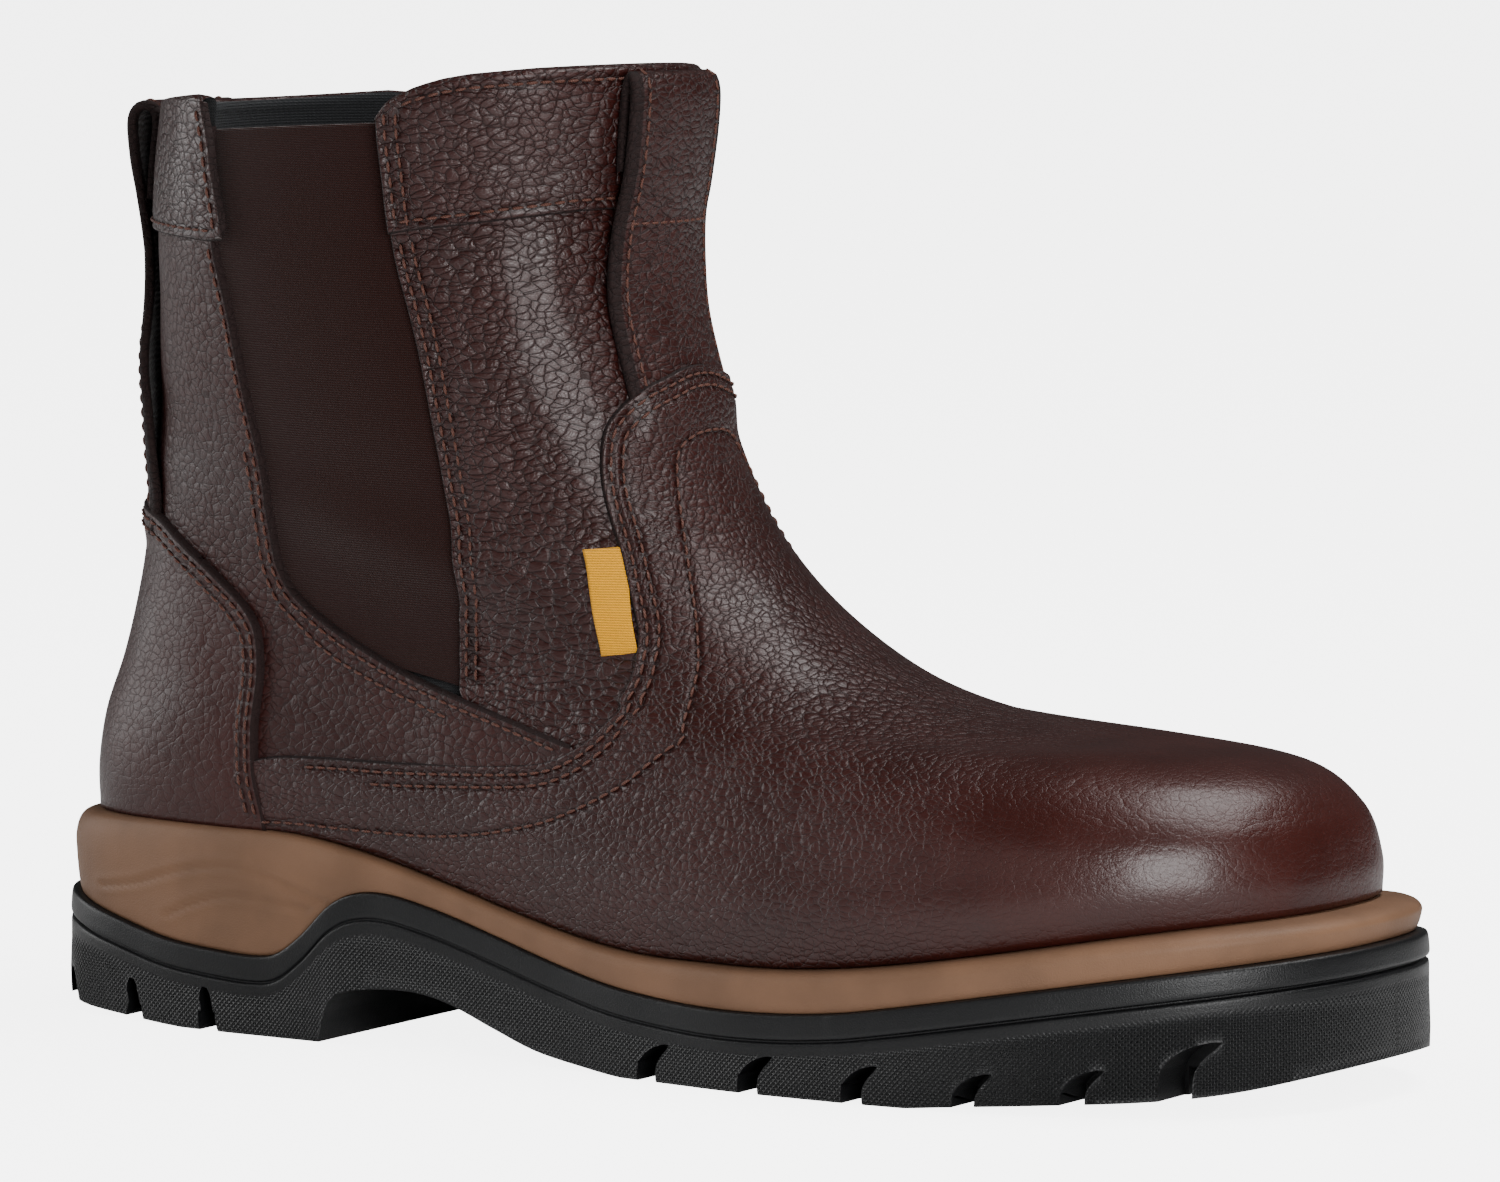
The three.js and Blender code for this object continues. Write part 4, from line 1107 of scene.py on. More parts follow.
    def gore(self, side: Side) -> None:
        """An elastic panel, a little behind the leather and tucked under it on both sides."""
        tuck = 0.05 * side.value
        front, back = self.gore_front[side], self.gore_back[side]
        top = LAST.locate(np.array([[70.0, 187.3]]), side)[0, 1]
        low = 3.95
        rows = np.linspace(low, top, 90)[:, None]
        share = np.linspace(0.0, 1.0, 60)[None, :]
        theta = mix(front.angle(rows) - tuck, back.angle(rows) + tuck, share)
        v = rows * np.ones_like(share)
        sunk = -1.35 - 0.5 * np.sin(share * HALF_TURN) * smooth((v - low) / 2.0)
        rim = [(-0.1, 0.35), (-0.4, 0.6), (-0.8, 0.6), (-1.1, 0.35), (-1.2, 0.0), (-1.2, -3.0), (-1.2, -18.0)]
        points = [LAST.place(theta, v, sunk)]
        points += [(LAST.place(theta[-1], v[-1], off + sunk[-1]) + np.array([0.0, 0.0, up]))[None] for off, up in rim]
        grid = np.concatenate(points)
        quads = grid_quads(*grid.shape[:2])
        if side is Side.INNER:
            quads = quads[:, ::-1]
        name = "elastic_outer" if side is Side.OUTER else "elastic_inner"
        piece = mesh_object(name, to_frame(grid).reshape(-1, 3), quads)
        node = "gore_lateral" if side is Side.OUTER else "gore_medial"
        dress(piece, [self.finishes.elastic], "elastic", node)

    def lining(self) -> None:
        """The inside of the boot, from the insole up to just under the rim."""
        top = LAST.locate(np.array([[70.0, 184.0]]), Side.INNER)[0, 1]
        theta = np.linspace(0.0, 2 * HALF_TURN, 161)[None, :-1]
        v = np.linspace(0.1, top, 70)[:, None]
        points = LAST.place(theta * np.ones_like(v), v * np.ones_like(theta), np.full((70, 160), -2.6))
        quads = grid_quads(70, 160, around=True)[:, ::-1]
        piece = mesh_object("textile_lining", to_frame(points).reshape(-1, 3), quads)
        dress(piece, [self.finishes.lining], "leather", "upper")

    def label(self) -> None:
        """The bare woven tab whose front edge is caught under the vamp.

        Its corners are side-view places; each height runs straight between both edges, and the edges are
        parabolas through their three located places.
        """
        flat = np.array(Outlines.label, float)
        s = np.linspace(0.0, 1.0, 26)[None, :, None]
        t = np.linspace(0.0, 1.0, 50)[:, None, None]
        ends = [mix(flat[[0, 1]], flat[[3, 2]], share) for share in (0.0, 0.5, 1.0)]
        a, b, c = (LAST.locate(pair, Side.OUTER) for pair in ends)
        rung = [mix(pair[0], pair[1], s) for pair in (a, b, c)]
        grid = (1 - t) * (1 - 2 * t) * rung[0] + 4 * t * (1 - t) * rung[1] + t * (2 * t - 1) * rung[2]
        base = LAST.point(grid[..., 0], grid[..., 1])
        rim = np.minimum(np.minimum(s, 1.0), np.minimum(t, 1 - t) * 2.6)[..., 0] * 8.0
        puff = 0.25 * np.sin(t[..., 0] * HALF_TURN * 3.0) * (1.0 - s[..., 0])
        offset = 0.1 + 0.8 * np.sqrt(1 - (1 - np.clip(rim / 0.5, 0, 1)) ** 2) + puff
        points = LAST.place(grid[..., 0], grid[..., 1], offset)
        piece = mesh_object("woven_tab", to_frame(points).reshape(-1, 3), grid_quads(50, 26)[:, ::-1])
        dress(piece, [self.finishes.label], "label", "side_label")

    def seam_points(self, panel: str) -> list[Array]:
        """Lines in space of the seams that are sewn into a panel."""
        return [seam.path.points() for seam in SEAMS if seam.panel == panel and len(seam.path.samples) > 3]


# ---------------------------------------------------------------- seams


@dataclass
class Seam:
    """A row of stitches on a panel."""

    panel: str
    path: Path
    offset: float
    pitch: float = 2.9


def rows_beside(panel: str, table: list[tuple[float, float]], distances: list[float], offset: float, low: float, high: float) -> list[Seam]:
    """Rows of stitches at distances beside a line of the pattern, between two sections, on both halves."""
    found = []
    for distance in distances:
        for side in Side:
            line = Path.from_table(table, side)
            moved = line.inset(distance * side.value) if distance else line
            found.append(Seam(panel, moved.between(low, high), offset))
    return found


def level_rows(panel: str, start: float, end: float, line: Callable[[Array], Array], ups: list[float], offset: float) -> list[Seam]:
    """Rows of stitches a little above a line of sections by angle, from one angle in degrees to another."""
    theta = np.radians(np.linspace(start, end, 240))
    return [Seam(panel, Path(np.stack([theta, line(theta) + up], axis=1)), offset) for up in ups]


def all_seams() -> list[Seam]:
    """Every row of stitches on the upper."""
    lines = Outlines
    seams = rows_beside("shaft_front", lines.gore_front, [2.2, 4.7], 0.05, 4.2, 11.3)
    seams += rows_beside("shaft_back", lines.gore_back, [-2.2], 0.05, 3.2, 11.0)
    seams += rows_beside("shaft_back", lines.gore_back, [-4.6], 0.05, 3.2, 8.0)
    seams += rows_beside("vamp", lines.vamp_edge, [2.1, 4.6], 1.3, 1.5, 10.1)
    seams += rows_beside("vamp", lines.vamp_stitch, [0.0], 1.3, 0.2, 10.0)
    seams += rows_beside("counter", lines.counter_edge, [-2.3, -4.5], 1.55, 0.3, 6.1)
    seams += rows_beside("collar_band_front", lines.gore_front, [2.2, 4.7], 1.35, 11.42, 12.74)
    seams += level_rows("collar_band_front", 69.0, -69.0, lines.band_low, [0.115], 1.35)
    seams += level_rows("collar_band_front", 69.0, -69.0, lines.rim, [-0.08], 1.35)
    seams += rows_beside("collar_band_back", lines.band_back, [-2.6], 1.35, 11.2, 12.9)
    seams += level_rows("collar_band_back", 117.0, 243.0, lines.band_low, [0.15], 1.35)
    return seams


SEAMS = all_seams()


@dataclass
class Stitching:
    """Short bowed lengths of thread, joined in one mesh."""

    length: float = 2.2
    radius: float = 0.34
    bow: float = 0.24
    sides: int = 5
    rings: int = 5

    def template(self) -> tuple[Array, Array, Array]:
        """One stitch: rings round a bowed line, thinner at both ends; x along, y across, z up."""
        along = np.linspace(-0.5, 0.5, self.rings)[:, None]
        thin = np.sqrt(1.0 - (1.75 * along) ** 2 * 0.95)
        turn = np.arange(self.sides)[None, :] * 2 * HALF_TURN / self.sides
        x = along * self.length * np.ones_like(turn)
        y = thin * self.radius * np.cos(turn)
        z = thin * self.radius * np.sin(turn) + self.bow * (1 - (2 * along) ** 2) - self.bow * 0.75
        points = np.stack([x, y, z], axis=-1).reshape(-1, 3)
        quads = grid_quads(self.rings, self.sides, around=True)
        fan = np.arange(1, self.sides - 1)
        start = np.stack([np.zeros_like(fan), fan + 1, fan], axis=1)
        end = np.stack([np.zeros_like(fan), fan, fan + 1], axis=1) + (self.rings - 1) * self.sides
        return points, quads[:, ::-1], np.concatenate([start, end])[:, ::-1]

    def build(self, name: str, lines: list[tuple[Array, Array, float]], material: bpy.types.Material, slot: str) -> bpy.types.Object:
        """Stitches along lines.

        Args:
            name: the piece's name.
            lines: (points, outward directions, pitch) of each row, in design millimetres.
            material: the thread's finish.
            slot: not used.

        Returns:
            The object.
        """
        centres, forwards, outs = [], [], []
        for points, normals, pitch in lines:
            steps = np.linalg.norm(np.diff(points, axis=0), axis=1)
            length = np.concatenate([[0.0], np.cumsum(steps)])
            count = max(1, int(length[-1] / pitch))
            at = (np.arange(count) + 0.5) * length[-1] / count
            take = lambda values, where: np.stack([np.interp(where, length, values[:, k]) for k in range(3)], axis=1)
            centres.append(take(points, at))
            forwards.append(take(points, at + 0.6) - take(points, at - 0.6))
            outs.append(take(normals, at))
        centre, forward, out = (np.concatenate(values) for values in (centres, forwards, outs))
        forward /= np.maximum(np.linalg.norm(forward, axis=1, keepdims=True), 1e-9)
        side = np.cross(out, forward)
        side /= np.maximum(np.linalg.norm(side, axis=1, keepdims=True), 1e-9)
        out = np.cross(forward, side)
        template, quads, triangles = self.template()
        axes = np.stack([forward, side, out], axis=1)
        points = centre[:, None, :] + np.einsum("pk,nkj->npj", template, axes)
        shift = (np.arange(len(centre)) * len(template))[:, None, None]
        return dress(
            mesh_object(
                name, to_frame(points).reshape(-1, 3), (quads[None] + shift).reshape(-1, 4),
                (triangles[None] + shift).reshape(-1, 3),
            ),
            [material], slot,
        )


def surface_line(seam: Seam) -> tuple[Array, Array, float]:
    """Points and outward directions of a seam on the lofted surface."""
    angles, sections = seam.path.samples[:, 0], seam.path.samples[:, 1]
    lifts = {"vamp": over_strap, "counter": over_back_strap, "shaft_back": arm_lift}
    offset = np.full(len(angles), seam.offset)
    if seam.panel in lifts:
        offset = offset + lifts[seam.panel](LAST.point(angles, sections))
    return LAST.place(angles, sections, offset), LAST.normal(angles, sections), seam.pitch


# ---------------------------------------------------------------- pull straps


@dataclass
class PullStrap:
    """A leather strap sewn to the shaft that stands off as a loop and folds down at the collar."""

    name: str
    node: str
    at_back: bool
    path: list[tuple[float, float]]
    width: float = 34.0
    neck_width: float = 28.0
    neck_from: float = 1.5
    thickness: float = 2.0

    def angle_across(self, across: Array, v: Array) -> Array:
        """Angle at which a section of the shaft is this far from its middle line."""
        power = LAST.column("round" if self.at_back else "toe", v)
        sizes = LAST.sizes
        half = (sizes.ball_width * LAST.column("ball", v) + sizes.shaft_width * LAST.column("shaft", v)) / 2
        share = np.clip(np.abs(across) / half, 0.0, 0.999)
        return np.sign(across) * np.arccos((1 - share**power) ** (1 / power))

    def surface(self, up: Array, off: Array, across: Array) -> tuple[Array, Array]:
        """Points and outward directions for heights from the collar, distances off the leather and across."""
        middle = HALF_TURN if self.at_back else 0.0
        rise = float(LAST.point(middle, COLLAR)[2] - LAST.point(middle, COLLAR - 1)[2])
        v = COLLAR + up / rise
        angle = self.angle_across(across, v)
        theta = HALF_TURN - angle if self.at_back else angle
        return LAST.place(theta, v, off), LAST.normal(theta, v)

    def half_width(self, up: Array) -> Array:
        """Half of the strap's width at a height below the collar."""
        neck = smooth(up / self.width + self.neck_from)
        return mix(self.width, self.neck_width, neck) / 2

    def build(self, finishes: Wardrobe) -> None:
        """The strap and its stitches."""
        line = spline(np.array(self.path) * self.width, 1.0)
        along = np.gradient(line, axis=0)
        along /= np.linalg.norm(along, axis=1, keepdims=True)
        arc = np.linspace(-0.5, 0.5, 7) * HALF_TURN
        flat = np.linspace(-1.0, 1.0, 23)
        edge = self.thickness / 2
        top_across = np.concatenate([flat[:-1], 1.0 + 0.0 * arc, flat[::-1][1:], -1.0 + 0.0 * arc[1:-1]])
        top_side = np.concatenate([np.ones(22), np.cos(np.linspace(0, HALF_TURN, 7)), -np.ones(22), -np.cos(np.linspace(0, HALF_TURN, 7)[1:-1])])
        bulge = np.concatenate([np.zeros(22), np.sin(np.linspace(0, HALF_TURN, 7)), np.zeros(22), -np.sin(np.linspace(0, HALF_TURN, 7)[1:-1])])
        half = self.half_width(line[:, 0])[:, None]
        across = top_across[None] * half + bulge[None] * edge * 0.8
        side = top_side[None] * edge
        up = line[:, :1] - along[:, 1:] * side
        off = line[:, 1:] + along[:, :1] * side
        points, _ = self.surface(up, off, across)
        count = points.shape[1]
        quads = grid_quads(len(points), count, around=True)
        first = np.arange(count)
        under = np.tile((np.arange(count) >= 29) & (np.arange(count) < 51), len(points) - 1).astype(int)
        caps = [ladder_quads(0, count, False), ladder_quads((len(points) - 1) * count, count, True)]
        quads = np.concatenate([quads, caps[0][0], caps[1][0]])
        triangles = np.concatenate([caps[0][1], caps[1][1]])
        slots = np.concatenate([under, np.zeros(len(caps[0][0]) * 2 + len(triangles), int)])
        rim = np.minimum(self.edge_distance(top_across, half), 50.0)
        rim = np.where(np.abs(bulge)[None] > 0.2, 0.0, rim)
        values = {"edge_mm": rim, "seam_mm": np.abs(rim - 2.6), "grain": np.ones(rim.shape)}
        if self.at_back:
            quads, triangles = quads[:, ::-1], triangles[:, ::-1]
        piece = mesh_object(self.name, to_frame(points).reshape(-1, 3), quads, triangles, values, slots)
        dress(piece, [finishes.strap_leather, finishes.suede], "leather", self.node)
        self.sew(line, along, half[:, 0], finishes)

    @staticmethod
    def edge_distance(across: Array, half: Array) -> Array:
        """Distance from the strap's side edges."""
        return (1.0 - np.abs(across))[None] * half

    def sew(self, line: Array, along: Array, half: Array, finishes: Wardrobe) -> None:
        """Rows of stitches beside both edges and across the strap at the band's lower edge."""
        lines = []
        lift = self.thickness / 2 + 0.05
        up = line[:, 0] - along[:, 1] * lift
        off = line[:, 1] + along[:, 0] * lift
        for sign in (-1.0, 1.0):
            across = sign * (half - 2.6)
            points, normals = self.surface(up, off, across)
            lines.append((points, self.outward(points), 2.9))
        below = np.argmin(np.abs(line[:, 0] + self.width * (0.9 if not self.at_back else 0.76)))
        share = np.linspace(-1.0, 1.0, 40)
        spread = share * (half[below] - 2.0)
        points, normals = self.surface(np.full(40, up[below]), np.full(40, off[below]), spread)
        lines.append((points, normals, 2.9))
        Stitching().build(self.name + "_stitches", lines, finishes.thread, "leather")

    @staticmethod
    def outward(points: Array) -> Array:
        """Directions away from the strap's path, square to it, from its own turning."""
        along = np.gradient(points, axis=0)
        side = np.array([0.0, 1.0, 0.0])
        out = np.cross(along, side)
        out /= np.maximum(np.linalg.norm(out, axis=1, keepdims=True), 1e-9)
        return out


# ---------------------------------------------------------------- sole


HOOK = spline(
    np.array([(-2.4, -9.0), (-2.5, 1.5), (-1.3, 4.9), (1.9, 7.2), (6.0, 8.0), (3.4, 5.0), (2.2, 1.5), (1.9, -9.0)]), 1.4
)
HEEL_SLOT = spline(
    np.array([(4.4, -9.0), (2.4, 1.5), (1.5, 5.0), (0.3, 8.6), (-1.5, 9.0), (-2.0, 6.5), (-1.3, 3.0), (-1.6, -9.0)]), 1.4
)
SOLE_REACH = np.array(
    [
        (0.0, 0.9), (0.1, 0.62), (0.18, 0.6), (0.215, 0.58), (0.255, 0.55), (0.31, 0.46), (0.38, 0.42), (0.46, 0.42),
        (0.54, 0.52), (0.64, 0.64), (0.86, 0.84), (1.0, 1.2),
    ]
)
SOLE_SPLIT = spline(
    np.array(
        [
            (-16.0, 27.2), (0.0, 26.7), (6.0, 25.9), (9.0, 24.8), (13.1, 23.3), (19.6, 21.5), (33.8, 18.2), (48.0, 16.8),
            (57.5, 16.5), (63.0, 17.6), (69.1, 21.9), (76.0, 28.4), (82.5, 31.3), (91.1, 31.6), (103.9, 29.2), (119.4, 25.2),
            (134.7, 21.2), (150.0, 18.2), (168.0, 16.5), (185.0, 16.3), (202.0, 17.4), (216.8, 19.6), (248.5, 25.2),
            (289.0, 31.9), (305.0, 33.0),
        ]
    ),
    1.0,
)


@dataclass
class Sole:
    """The midsole and the lugged outsole, as rings round the upper's lower edge."""

    margin: float = 9.0
    seat_gap: float = 0.45
    lip: float = 5.0
    gap: float = 0.1
    columns: int = 560
    lug_groove_depth: float = 4.0
    lug_groove_width: float = 4.5
    slot_depth: float = 9.0
    toe_spring: float = 13.4
    spring_from: float = 0.82
    spring_over: float = 0.3

    def __post_init__(self) -> None:
        """Spreads the columns evenly round the lower edge, mirrored about the toe."""
        theta = np.linspace(0.0, HALF_TURN, 2000)
        length = np.concatenate([[0.0], np.cumsum(np.linalg.norm(np.diff(LAST.point(theta, np.zeros(2000)), axis=0), axis=1))])
        half = np.interp(np.linspace(0.0, length[-1], self.columns // 2 + 1), length, theta)
        self.theta = np.concatenate([half, 2 * HALF_TURN - half[1:-1][::-1]])

    @staticmethod
    def reach(x: Array) -> Array:
        """Share of the margin by which the sole stands out at x, eased between the table's rows."""
        share = np.clip(x / LAST.sizes.last_length, 0.0, 1.0)
        i = np.clip(np.searchsorted(SOLE_REACH[:, 0], share), 1, len(SOLE_REACH) - 1)
        a, b = SOLE_REACH[i - 1], SOLE_REACH[i]
        return mix(a[..., 1], b[..., 1], smooth((share - a[..., 0]) / (b[..., 0] - a[..., 0])))

    def ring(self, outward: float, height: Callable[[Array], Array]) -> Array:
        """The upper's lower edge moved outwards in plan by a share of the margin, at its own height."""
        here = LAST.point(self.theta, np.zeros_like(self.theta))
        along = LAST.point(self.theta + 0.03, np.zeros_like(self.theta)) - LAST.point(self.theta - 0.03, np.zeros_like(self.theta))
        along[:, 2] = 0.0
        along /= np.linalg.norm(along, axis=1, keepdims=True)
        reach = outward * self.margin * self.reach(here[:, 0])
        x = here[:, 0] - along[:, 1] * reach
        y = here[:, 1] + along[:, 0] * reach
        return np.stack([x, y, height(here[:, 0])], axis=1)

    def midsole_top(self, x: Array) -> Array:
        """Height of the midsole's upper edge at x."""
        return LAST.seat_height(x) - self.seat_gap

    def midsole_bottom(self, x: Array) -> Array:
        """Height of the line between midsole and outsole at x."""
        return np.interp(x, SOLE_SPLIT[:, 0], SOLE_SPLIT[:, 1])

    def midsole(self, finishes: Wardrobe) -> None:
        """The tan midsole: a rounded upper rim, a hollowed wall and raised lines at the heel."""
        profile = spline(
            np.array([(-0.4, -0.02), (0.2, -0.02), (0.5, 0.0), (0.68, 0.06), (0.8, 0.17), (0.86, 0.33), (0.85, 0.5),
                      (0.82, 0.7), (0.78, 0.88), (0.73, 1.0)]), 0.035,
        )
        rings = [
            self.ring(out, lambda x, down=down: mix(self.midsole_top(x), self.midsole_bottom(x), down))
            for out, down in profile
        ]
        points = np.stack(rings)
        normals = self.ring_normals(points)
        points = points + normals * self.heel_lines(points)[..., None]
        quads = grid_quads(len(points), self.columns, around=True)[:, ::-1]
        low, low_ends = ladder_quads((len(points) - 1) * self.columns, self.columns, True)
        top, top_ends = ladder_quads(0, self.columns, False)
        piece = mesh_object(
            "tan_midsole", to_frame(points).reshape(-1, 3), np.concatenate([quads, low, top]),
            np.concatenate([low_ends, top_ends]),
        )
        dress(piece, [finishes.foam], "midsole", "midsole")

    @staticmethod
    def ring_normals(points: Array) -> Array:
        """Outward directions of stacked rings: the step down crossed with the step round."""
        around = np.roll(points, -1, axis=1) - np.roll(points, 1, axis=1)
        down = np.gradient(points, axis=0)
        out = np.cross(around, down)
        return out / np.maximum(np.linalg.norm(out, axis=-1, keepdims=True), 1e-9)

    def heel_lines(self, points: Array) -> Array:
        """Engraved lines on the heel's side walls: a narrow trough with a low ridge on both sides."""
        curves = [
            [(13.9, 27.2), (24.3, 28.9), (31.7, 31.1), (39.8, 33.2), (47.7, 34.2), (55.5, 33.9), (64.6, 31.7), (76.0, 28.2)],
            [(32.6, 22.8), (39.9, 25.8), (48.0, 28.0), (55.8, 28.3), (61.9, 27.6), (70.0, 26.9)],
        ]
        flat = points[..., [0, 2]]
        lift = np.zeros(points.shape[:-1])
        for curve in curves:
            distance = distance_to(flat, spline(np.array(curve), 0.5))
            lift += 0.25 * bump_at(distance - 1.3, 0.7) - 0.55 * bump_at(distance, 0.55)
        return lift

    def outsole(self, finishes: Wardrobe) -> None:
        """The black outsole: a round lip, a groove, a patterned wall, and lugs cut from below."""
        lip = spline(
            np.array([(0.75, 0.0), (0.9, 0.02), (0.96, 0.1), (0.985, 0.3), (1.0, 0.6), (1.005, 0.88), (0.97, 1.0), (0.88, 1.05),
                      (0.87, 1.12), (0.96, 1.17), (0.995, 1.28), (1.0, 1.6)]), 0.05,
        )
        rings = [self.ring(out, lambda x, down=down: self.midsole_bottom(x) - self.gap - down * self.lip) for out, down in lip]
        lowest = lip[-1, 1] * self.lip + self.gap
        for share, out in ((0.85, 1.0), (0.7, 1.015), (0.5, 1.03), (0.3, 1.02), (0.15, 1.0), (0.08, 0.985), (0.03, 0.96), (0.0, 0.9)):
            rings.append(self.ring(out, lambda x, share=share: (self.midsole_bottom(x) - lowest) * share))
        points = np.stack(rings)
        rows = len(points)
        steps = np.linalg.norm(np.diff(points[0], axis=0), axis=1)
        around = np.concatenate([[0.0], np.cumsum(steps)])
        uv = np.stack([np.tile(around, rows), points[..., 2].ravel()], axis=1)
        knurl = np.repeat(np.arange(rows) >= len(lip), self.columns).astype(float)
        quads = grid_quads(rows, self.columns, around=True)[:, ::-1]
        low, low_ends = ladder_quads((rows - 1) * self.columns, self.columns, True)
        top, top_ends = ladder_quads(0, self.columns, False)
        piece = mesh_object(
            "lugged_outsole", to_frame(points).reshape(-1, 3), np.concatenate([quads, low, top]),
            np.concatenate([low_ends, top_ends]), {"knurl": knurl}, uv=uv,
        )
        self.cut(piece)
        dress(piece, [finishes.rubber], "outsole", "outsole")

    def cutters(self) -> list[tuple[Array, float, float]]:
        """Side-view outlines and the two depths between which each is cut away."""
        length, seat, far = LAST.sizes.last_length, LAST.sizes.heel_seat, 400.0
        scale = np.array([length, seat])
        spring = spline(np.array([(0.75, -0.01), (0.8, 0.022), (0.86, 0.05), (0.93, 0.08), (0.98, 0.12), (1.03, 0.2), (1.15, 0.42)]) * scale, 3.0)
        heel = spline(np.array([(-0.1, 0.3), (-0.02, 0.14), (0.02, 0.06), (0.07, 0.03), (0.14, -0.005)]) * scale, 3.0)
        arch = spline(
            np.array([(0.252, -0.02), (0.262, 0.2), (0.276, 0.262), (0.31, 0.29), (0.34, 0.29), (0.37, 0.25),
                      (0.41, 0.155), (0.45, 0.07), (0.5, 0.02), (0.54, -0.01)]) * scale, 2.5,
        )
        under = -21.0
        found = [
            (np.concatenate([spring, [(spring[-1, 0], under), (spring[0, 0], under)]]), -far, far),
            (np.concatenate([heel, [(heel[-1, 0], under), (heel[0, 0], under)]]), -far, far),
            (arch, -far, far),
        ]
        edge_ring = self.ring(1.0, np.zeros_like)
        for share in (0.015, 0.085, 0.155, 0.55, 0.64, 0.725, 0.81, 0.885, 0.95):
            x = share * length
            floor = float(self.toe_spring * smooth(np.array((share - self.spring_from) / self.spring_over)))
            outer = edge_ring[edge_ring[:, 1] < 0]
            edge = abs(outer[np.argmin(np.abs(outer[:, 0] - x)), 1]) - self.slot_depth
            box = np.array([(-0.5, -1.0), (0.5, -1.0), (0.5, 1.0), (-0.5, 1.0)])
            slot = (HOOK if share > 0.3 else HEEL_SLOT) * (1.25 if share > 0.9 else 1.0) + (x, floor)
            groove = np.stack([x + box[:, 0] * self.lug_groove_width, floor + np.where(box[:, 1] > 0, 1.0, -4.0) * self.lug_groove_depth], axis=1)
            found += [(slot, -far, -edge), (slot, edge, far), (groove, -far, far)]
        return found

    def cut(self, piece: bpy.types.Object) -> None:
        """Takes every cutter away from the outsole and keeps the result as its mesh."""
        tools = []
        for number, (outline, low, high) in enumerate(self.cutters()):
            count = len(outline)
            ends = [np.stack([outline[:, 0], np.full(count, y), outline[:, 1]], axis=1) for y in (low, high)]
            i = np.arange(count)
            j = (i + 1) % count
            walls = np.stack([i, j, j + count, i + count], axis=1)
            mesh = bpy.data.meshes.new(f"cutter_{number}")
            faces = walls.tolist() + [list(range(count))[::-1], list(range(count, 2 * count))]
            mesh.from_pydata(to_frame(np.concatenate(ends)).tolist(), [], faces)
            area = float(np.sum(outline[:, 0] * np.roll(outline[:, 1], -1) - np.roll(outline[:, 0], -1) * outline[:, 1]))
            if area > 0:
                mesh.flip_normals()
            tool = bpy.data.objects.new(mesh.name, mesh)
            bpy.context.scene.collection.objects.link(tool)
            modifier = piece.modifiers.new(mesh.name, "BOOLEAN")
            modifier.operation, modifier.solver, modifier.object = "DIFFERENCE", "MANIFOLD", tool
            tools.append(tool)
        result = bpy.data.meshes.new_from_object(piece.evaluated_get(bpy.context.evaluated_depsgraph_get()))
        piece.modifiers.clear()
        piece.data = result
        result.name = piece.name
        result.materials.clear()
        result.set_sharp_from_angle(angle=math.radians(38.0))
        for tool in tools:
            bpy.data.objects.remove(tool)


# ---------------------------------------------------------------- studio


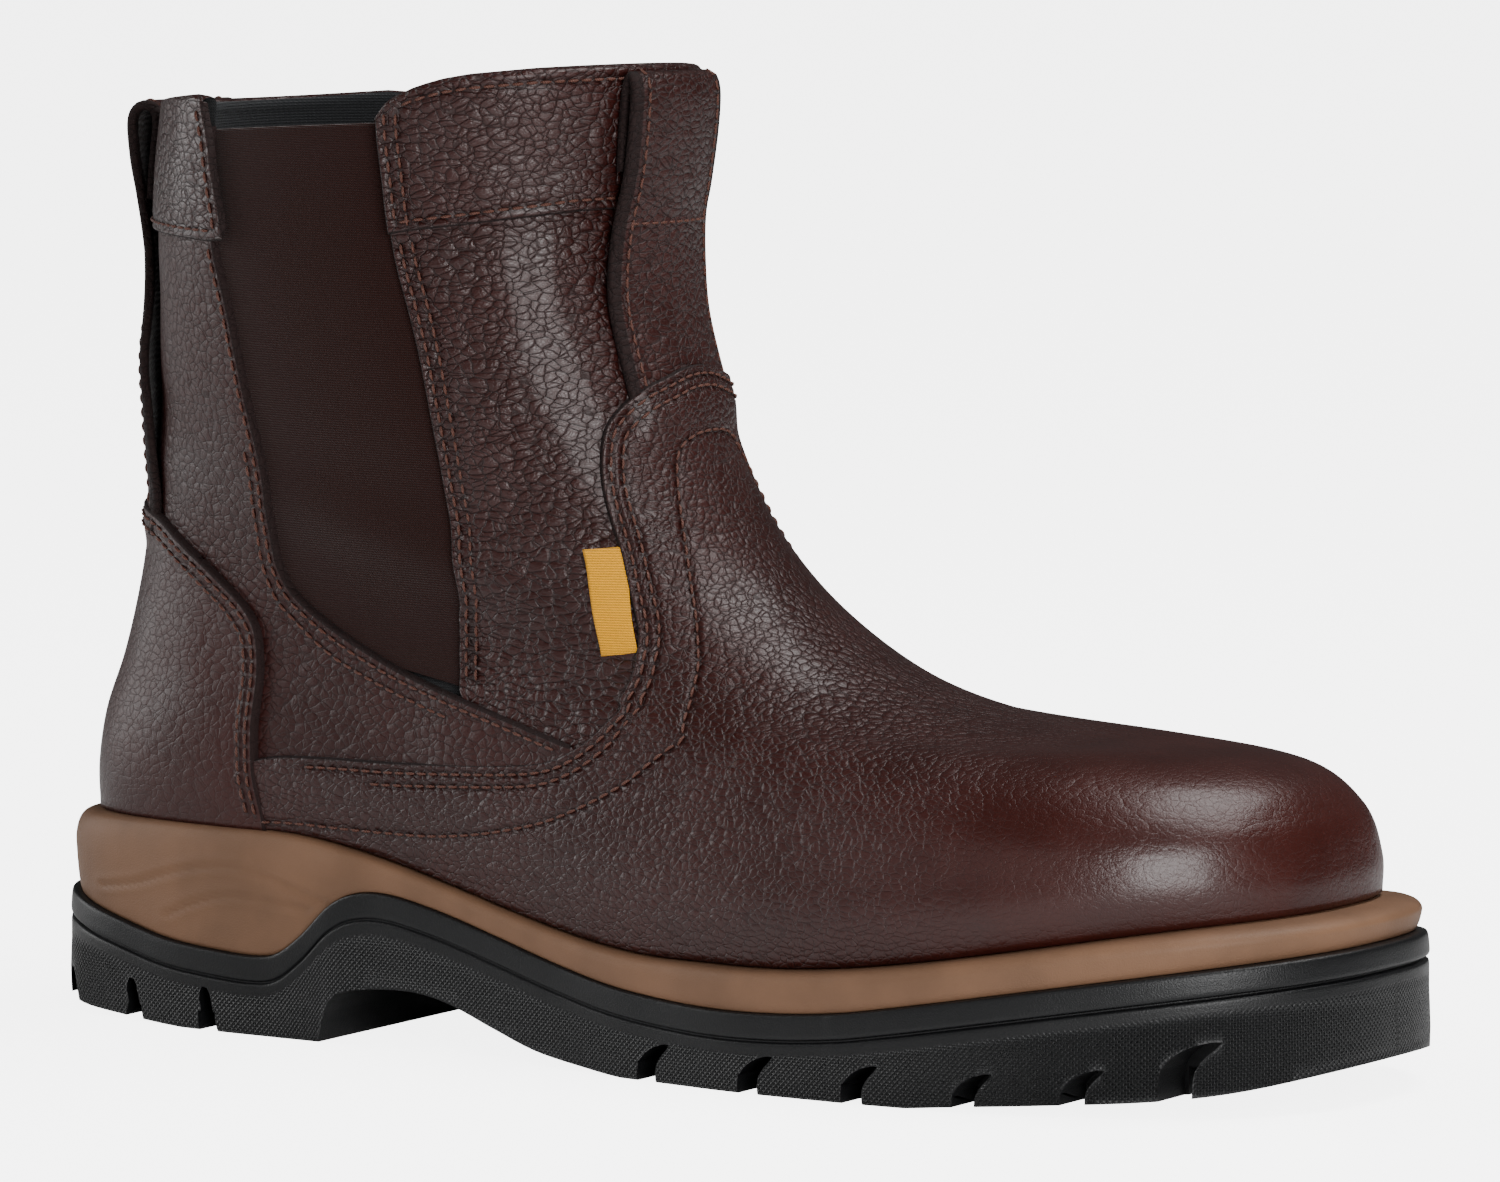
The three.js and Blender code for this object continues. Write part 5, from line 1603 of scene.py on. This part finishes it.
@dataclass(frozen=True)
class Studio:
    """Floor, lights and the camera at the photograph's angle."""

    azimuth: float = 31.0
    elevation: float = 6.4
    distance: float = 2.6
    focal_pixels: float = 12808.64
    image_width: float = 1500.0
    sensor: float = 36.0
    target: tuple[float, float, float] = (0.005724, -0.00091, 0.093943)

    def camera(self) -> None:
        """A camera that looks at the target from the photograph's direction, level with the horizon."""
        a, e = math.radians(self.azimuth), math.radians(self.elevation)
        back = Vector((math.sin(a) * math.cos(e), -math.cos(a) * math.cos(e), math.sin(e)))
        right = Vector((math.cos(a), math.sin(a), 0.0))
        up = back.cross(right)
        data = bpy.data.cameras.new("camera")
        data.sensor_fit = "HORIZONTAL"
        data.sensor_width = self.sensor
        data.lens = self.focal_pixels * self.sensor / self.image_width
        data.clip_end = 50.0
        camera = bpy.data.objects.new("camera", data)
        place = Vector(self.target) + back * self.distance
        camera.matrix_world = Matrix.Translation(place) @ Matrix((right, up, back)).transposed().to_4x4()
        bpy.context.scene.collection.objects.link(camera)
        bpy.context.scene.camera = camera

    def light(self, name: str, place: tuple[float, float, float], size: tuple[float, float], power: float) -> None:
        """A soft rectangular light that points at the boot."""
        data = bpy.data.lights.new(name, "AREA")
        data.shape, data.size, data.size_y, data.energy = "RECTANGLE", size[0], size[1], power
        lamp = bpy.data.objects.new(name, data)
        lamp.location = place
        lamp.rotation_euler = (Vector((0.0, 0.0, 0.08)) - Vector(place)).to_track_quat("-Z", "Y").to_euler()
        bpy.context.scene.collection.objects.link(lamp)

    def build(self) -> None:
        """Sets the floor, the lights, the surroundings and the camera."""
        floor = mesh_object(
            "floor", np.array([(-6.0, -6.0, 0.0), (6.0, -6.0, 0.0), (6.0, 6.0, 0.0), (-6.0, 6.0, 0.0)]), np.array([[0, 1, 2, 3]])
        )
        material, g, shader = Finish("pale_floor", (0.93, 0.93, 0.93), 0.9).start()
        shader.inputs["Specular IOR Level"].default_value = 0.1
        shader.inputs["Emission Color"].default_value = (1.0, 1.0, 1.0, 1.0)
        seen = g.node("ShaderNodeLightPath").outputs["Is Camera Ray"]
        g.feed(shader.inputs["Emission Strength"], g.math("MULTIPLY", seen, 5.0))
        floor.data.materials.append(material)
        self.light("right_front", (1.0, -0.9, 0.42), (0.7, 0.7), 17.0)
        self.light("overhead", (0.45, 0.25, 1.25), (1.0, 0.7), 15.5)
        self.light("left_side", (-1.4, -0.25, 0.5), (0.8, 0.9), 10.0)
        self.light("fill", (-0.4, -1.9, 1.0), (1.6, 1.2), 4.0)
        world = bpy.data.worlds.new("studio")
        bpy.context.scene.world = world
        world.use_nodes = True
        world.node_tree.nodes["Background"].inputs["Color"].default_value = (1.0, 1.0, 1.0, 1.0)
        world.node_tree.nodes["Background"].inputs["Strength"].default_value = 0.07
        self.camera()


FRONT_STRAP = [
    (-2.02, 0.028), (-1.75, 0.028), (-1.5, 0.04), (-1.2, 0.075), (-0.88, 0.1), (-0.7, 0.132), (-0.5, 0.158), (-0.29, 0.17),
    (-0.12, 0.165), (-0.035, 0.135), (-0.04, 0.1), (-0.12, 0.08), (-0.24, 0.075), (-0.6, 0.075),
]
BACK_STRAP = [
    (-2.75, 0.03), (-2.45, 0.035), (-2.2, 0.06), (-1.6, 0.1), (-1.2, 0.08), (-0.92, 0.078), (-0.76, 0.095), (-0.53, 0.148),
    (-0.33, 0.205), (-0.13, 0.245), (-0.04, 0.2), (-0.05, 0.12), (-0.16, 0.084), (-0.56, 0.08),
]


def main() -> None:
    """Builds the boot piece by piece, dresses the solids that stay, and sets the studio."""
    logging.basicConfig(level=logging.INFO, format="%(name)s %(message)s")
    finishes = Wardrobe()
    Upper(finishes).build()
    Stitching().build("upper_stitches", [surface_line(seam) for seam in SEAMS], finishes.thread, "leather")
    PullStrap("pull_strap_front_loop", "pull_strap_front", False, FRONT_STRAP).build(finishes)
    PullStrap("pull_strap_back_loop", "pull_strap_back", True, BACK_STRAP).build(finishes)
    sole = Sole()
    sole.midsole(finishes)
    sole.outsole(finishes)
    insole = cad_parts["insole"]
    insole.data.materials.clear()
    insole.data.materials.append(finishes.footbed)
    Studio().build()


if __name__ == "__main__":
    main()
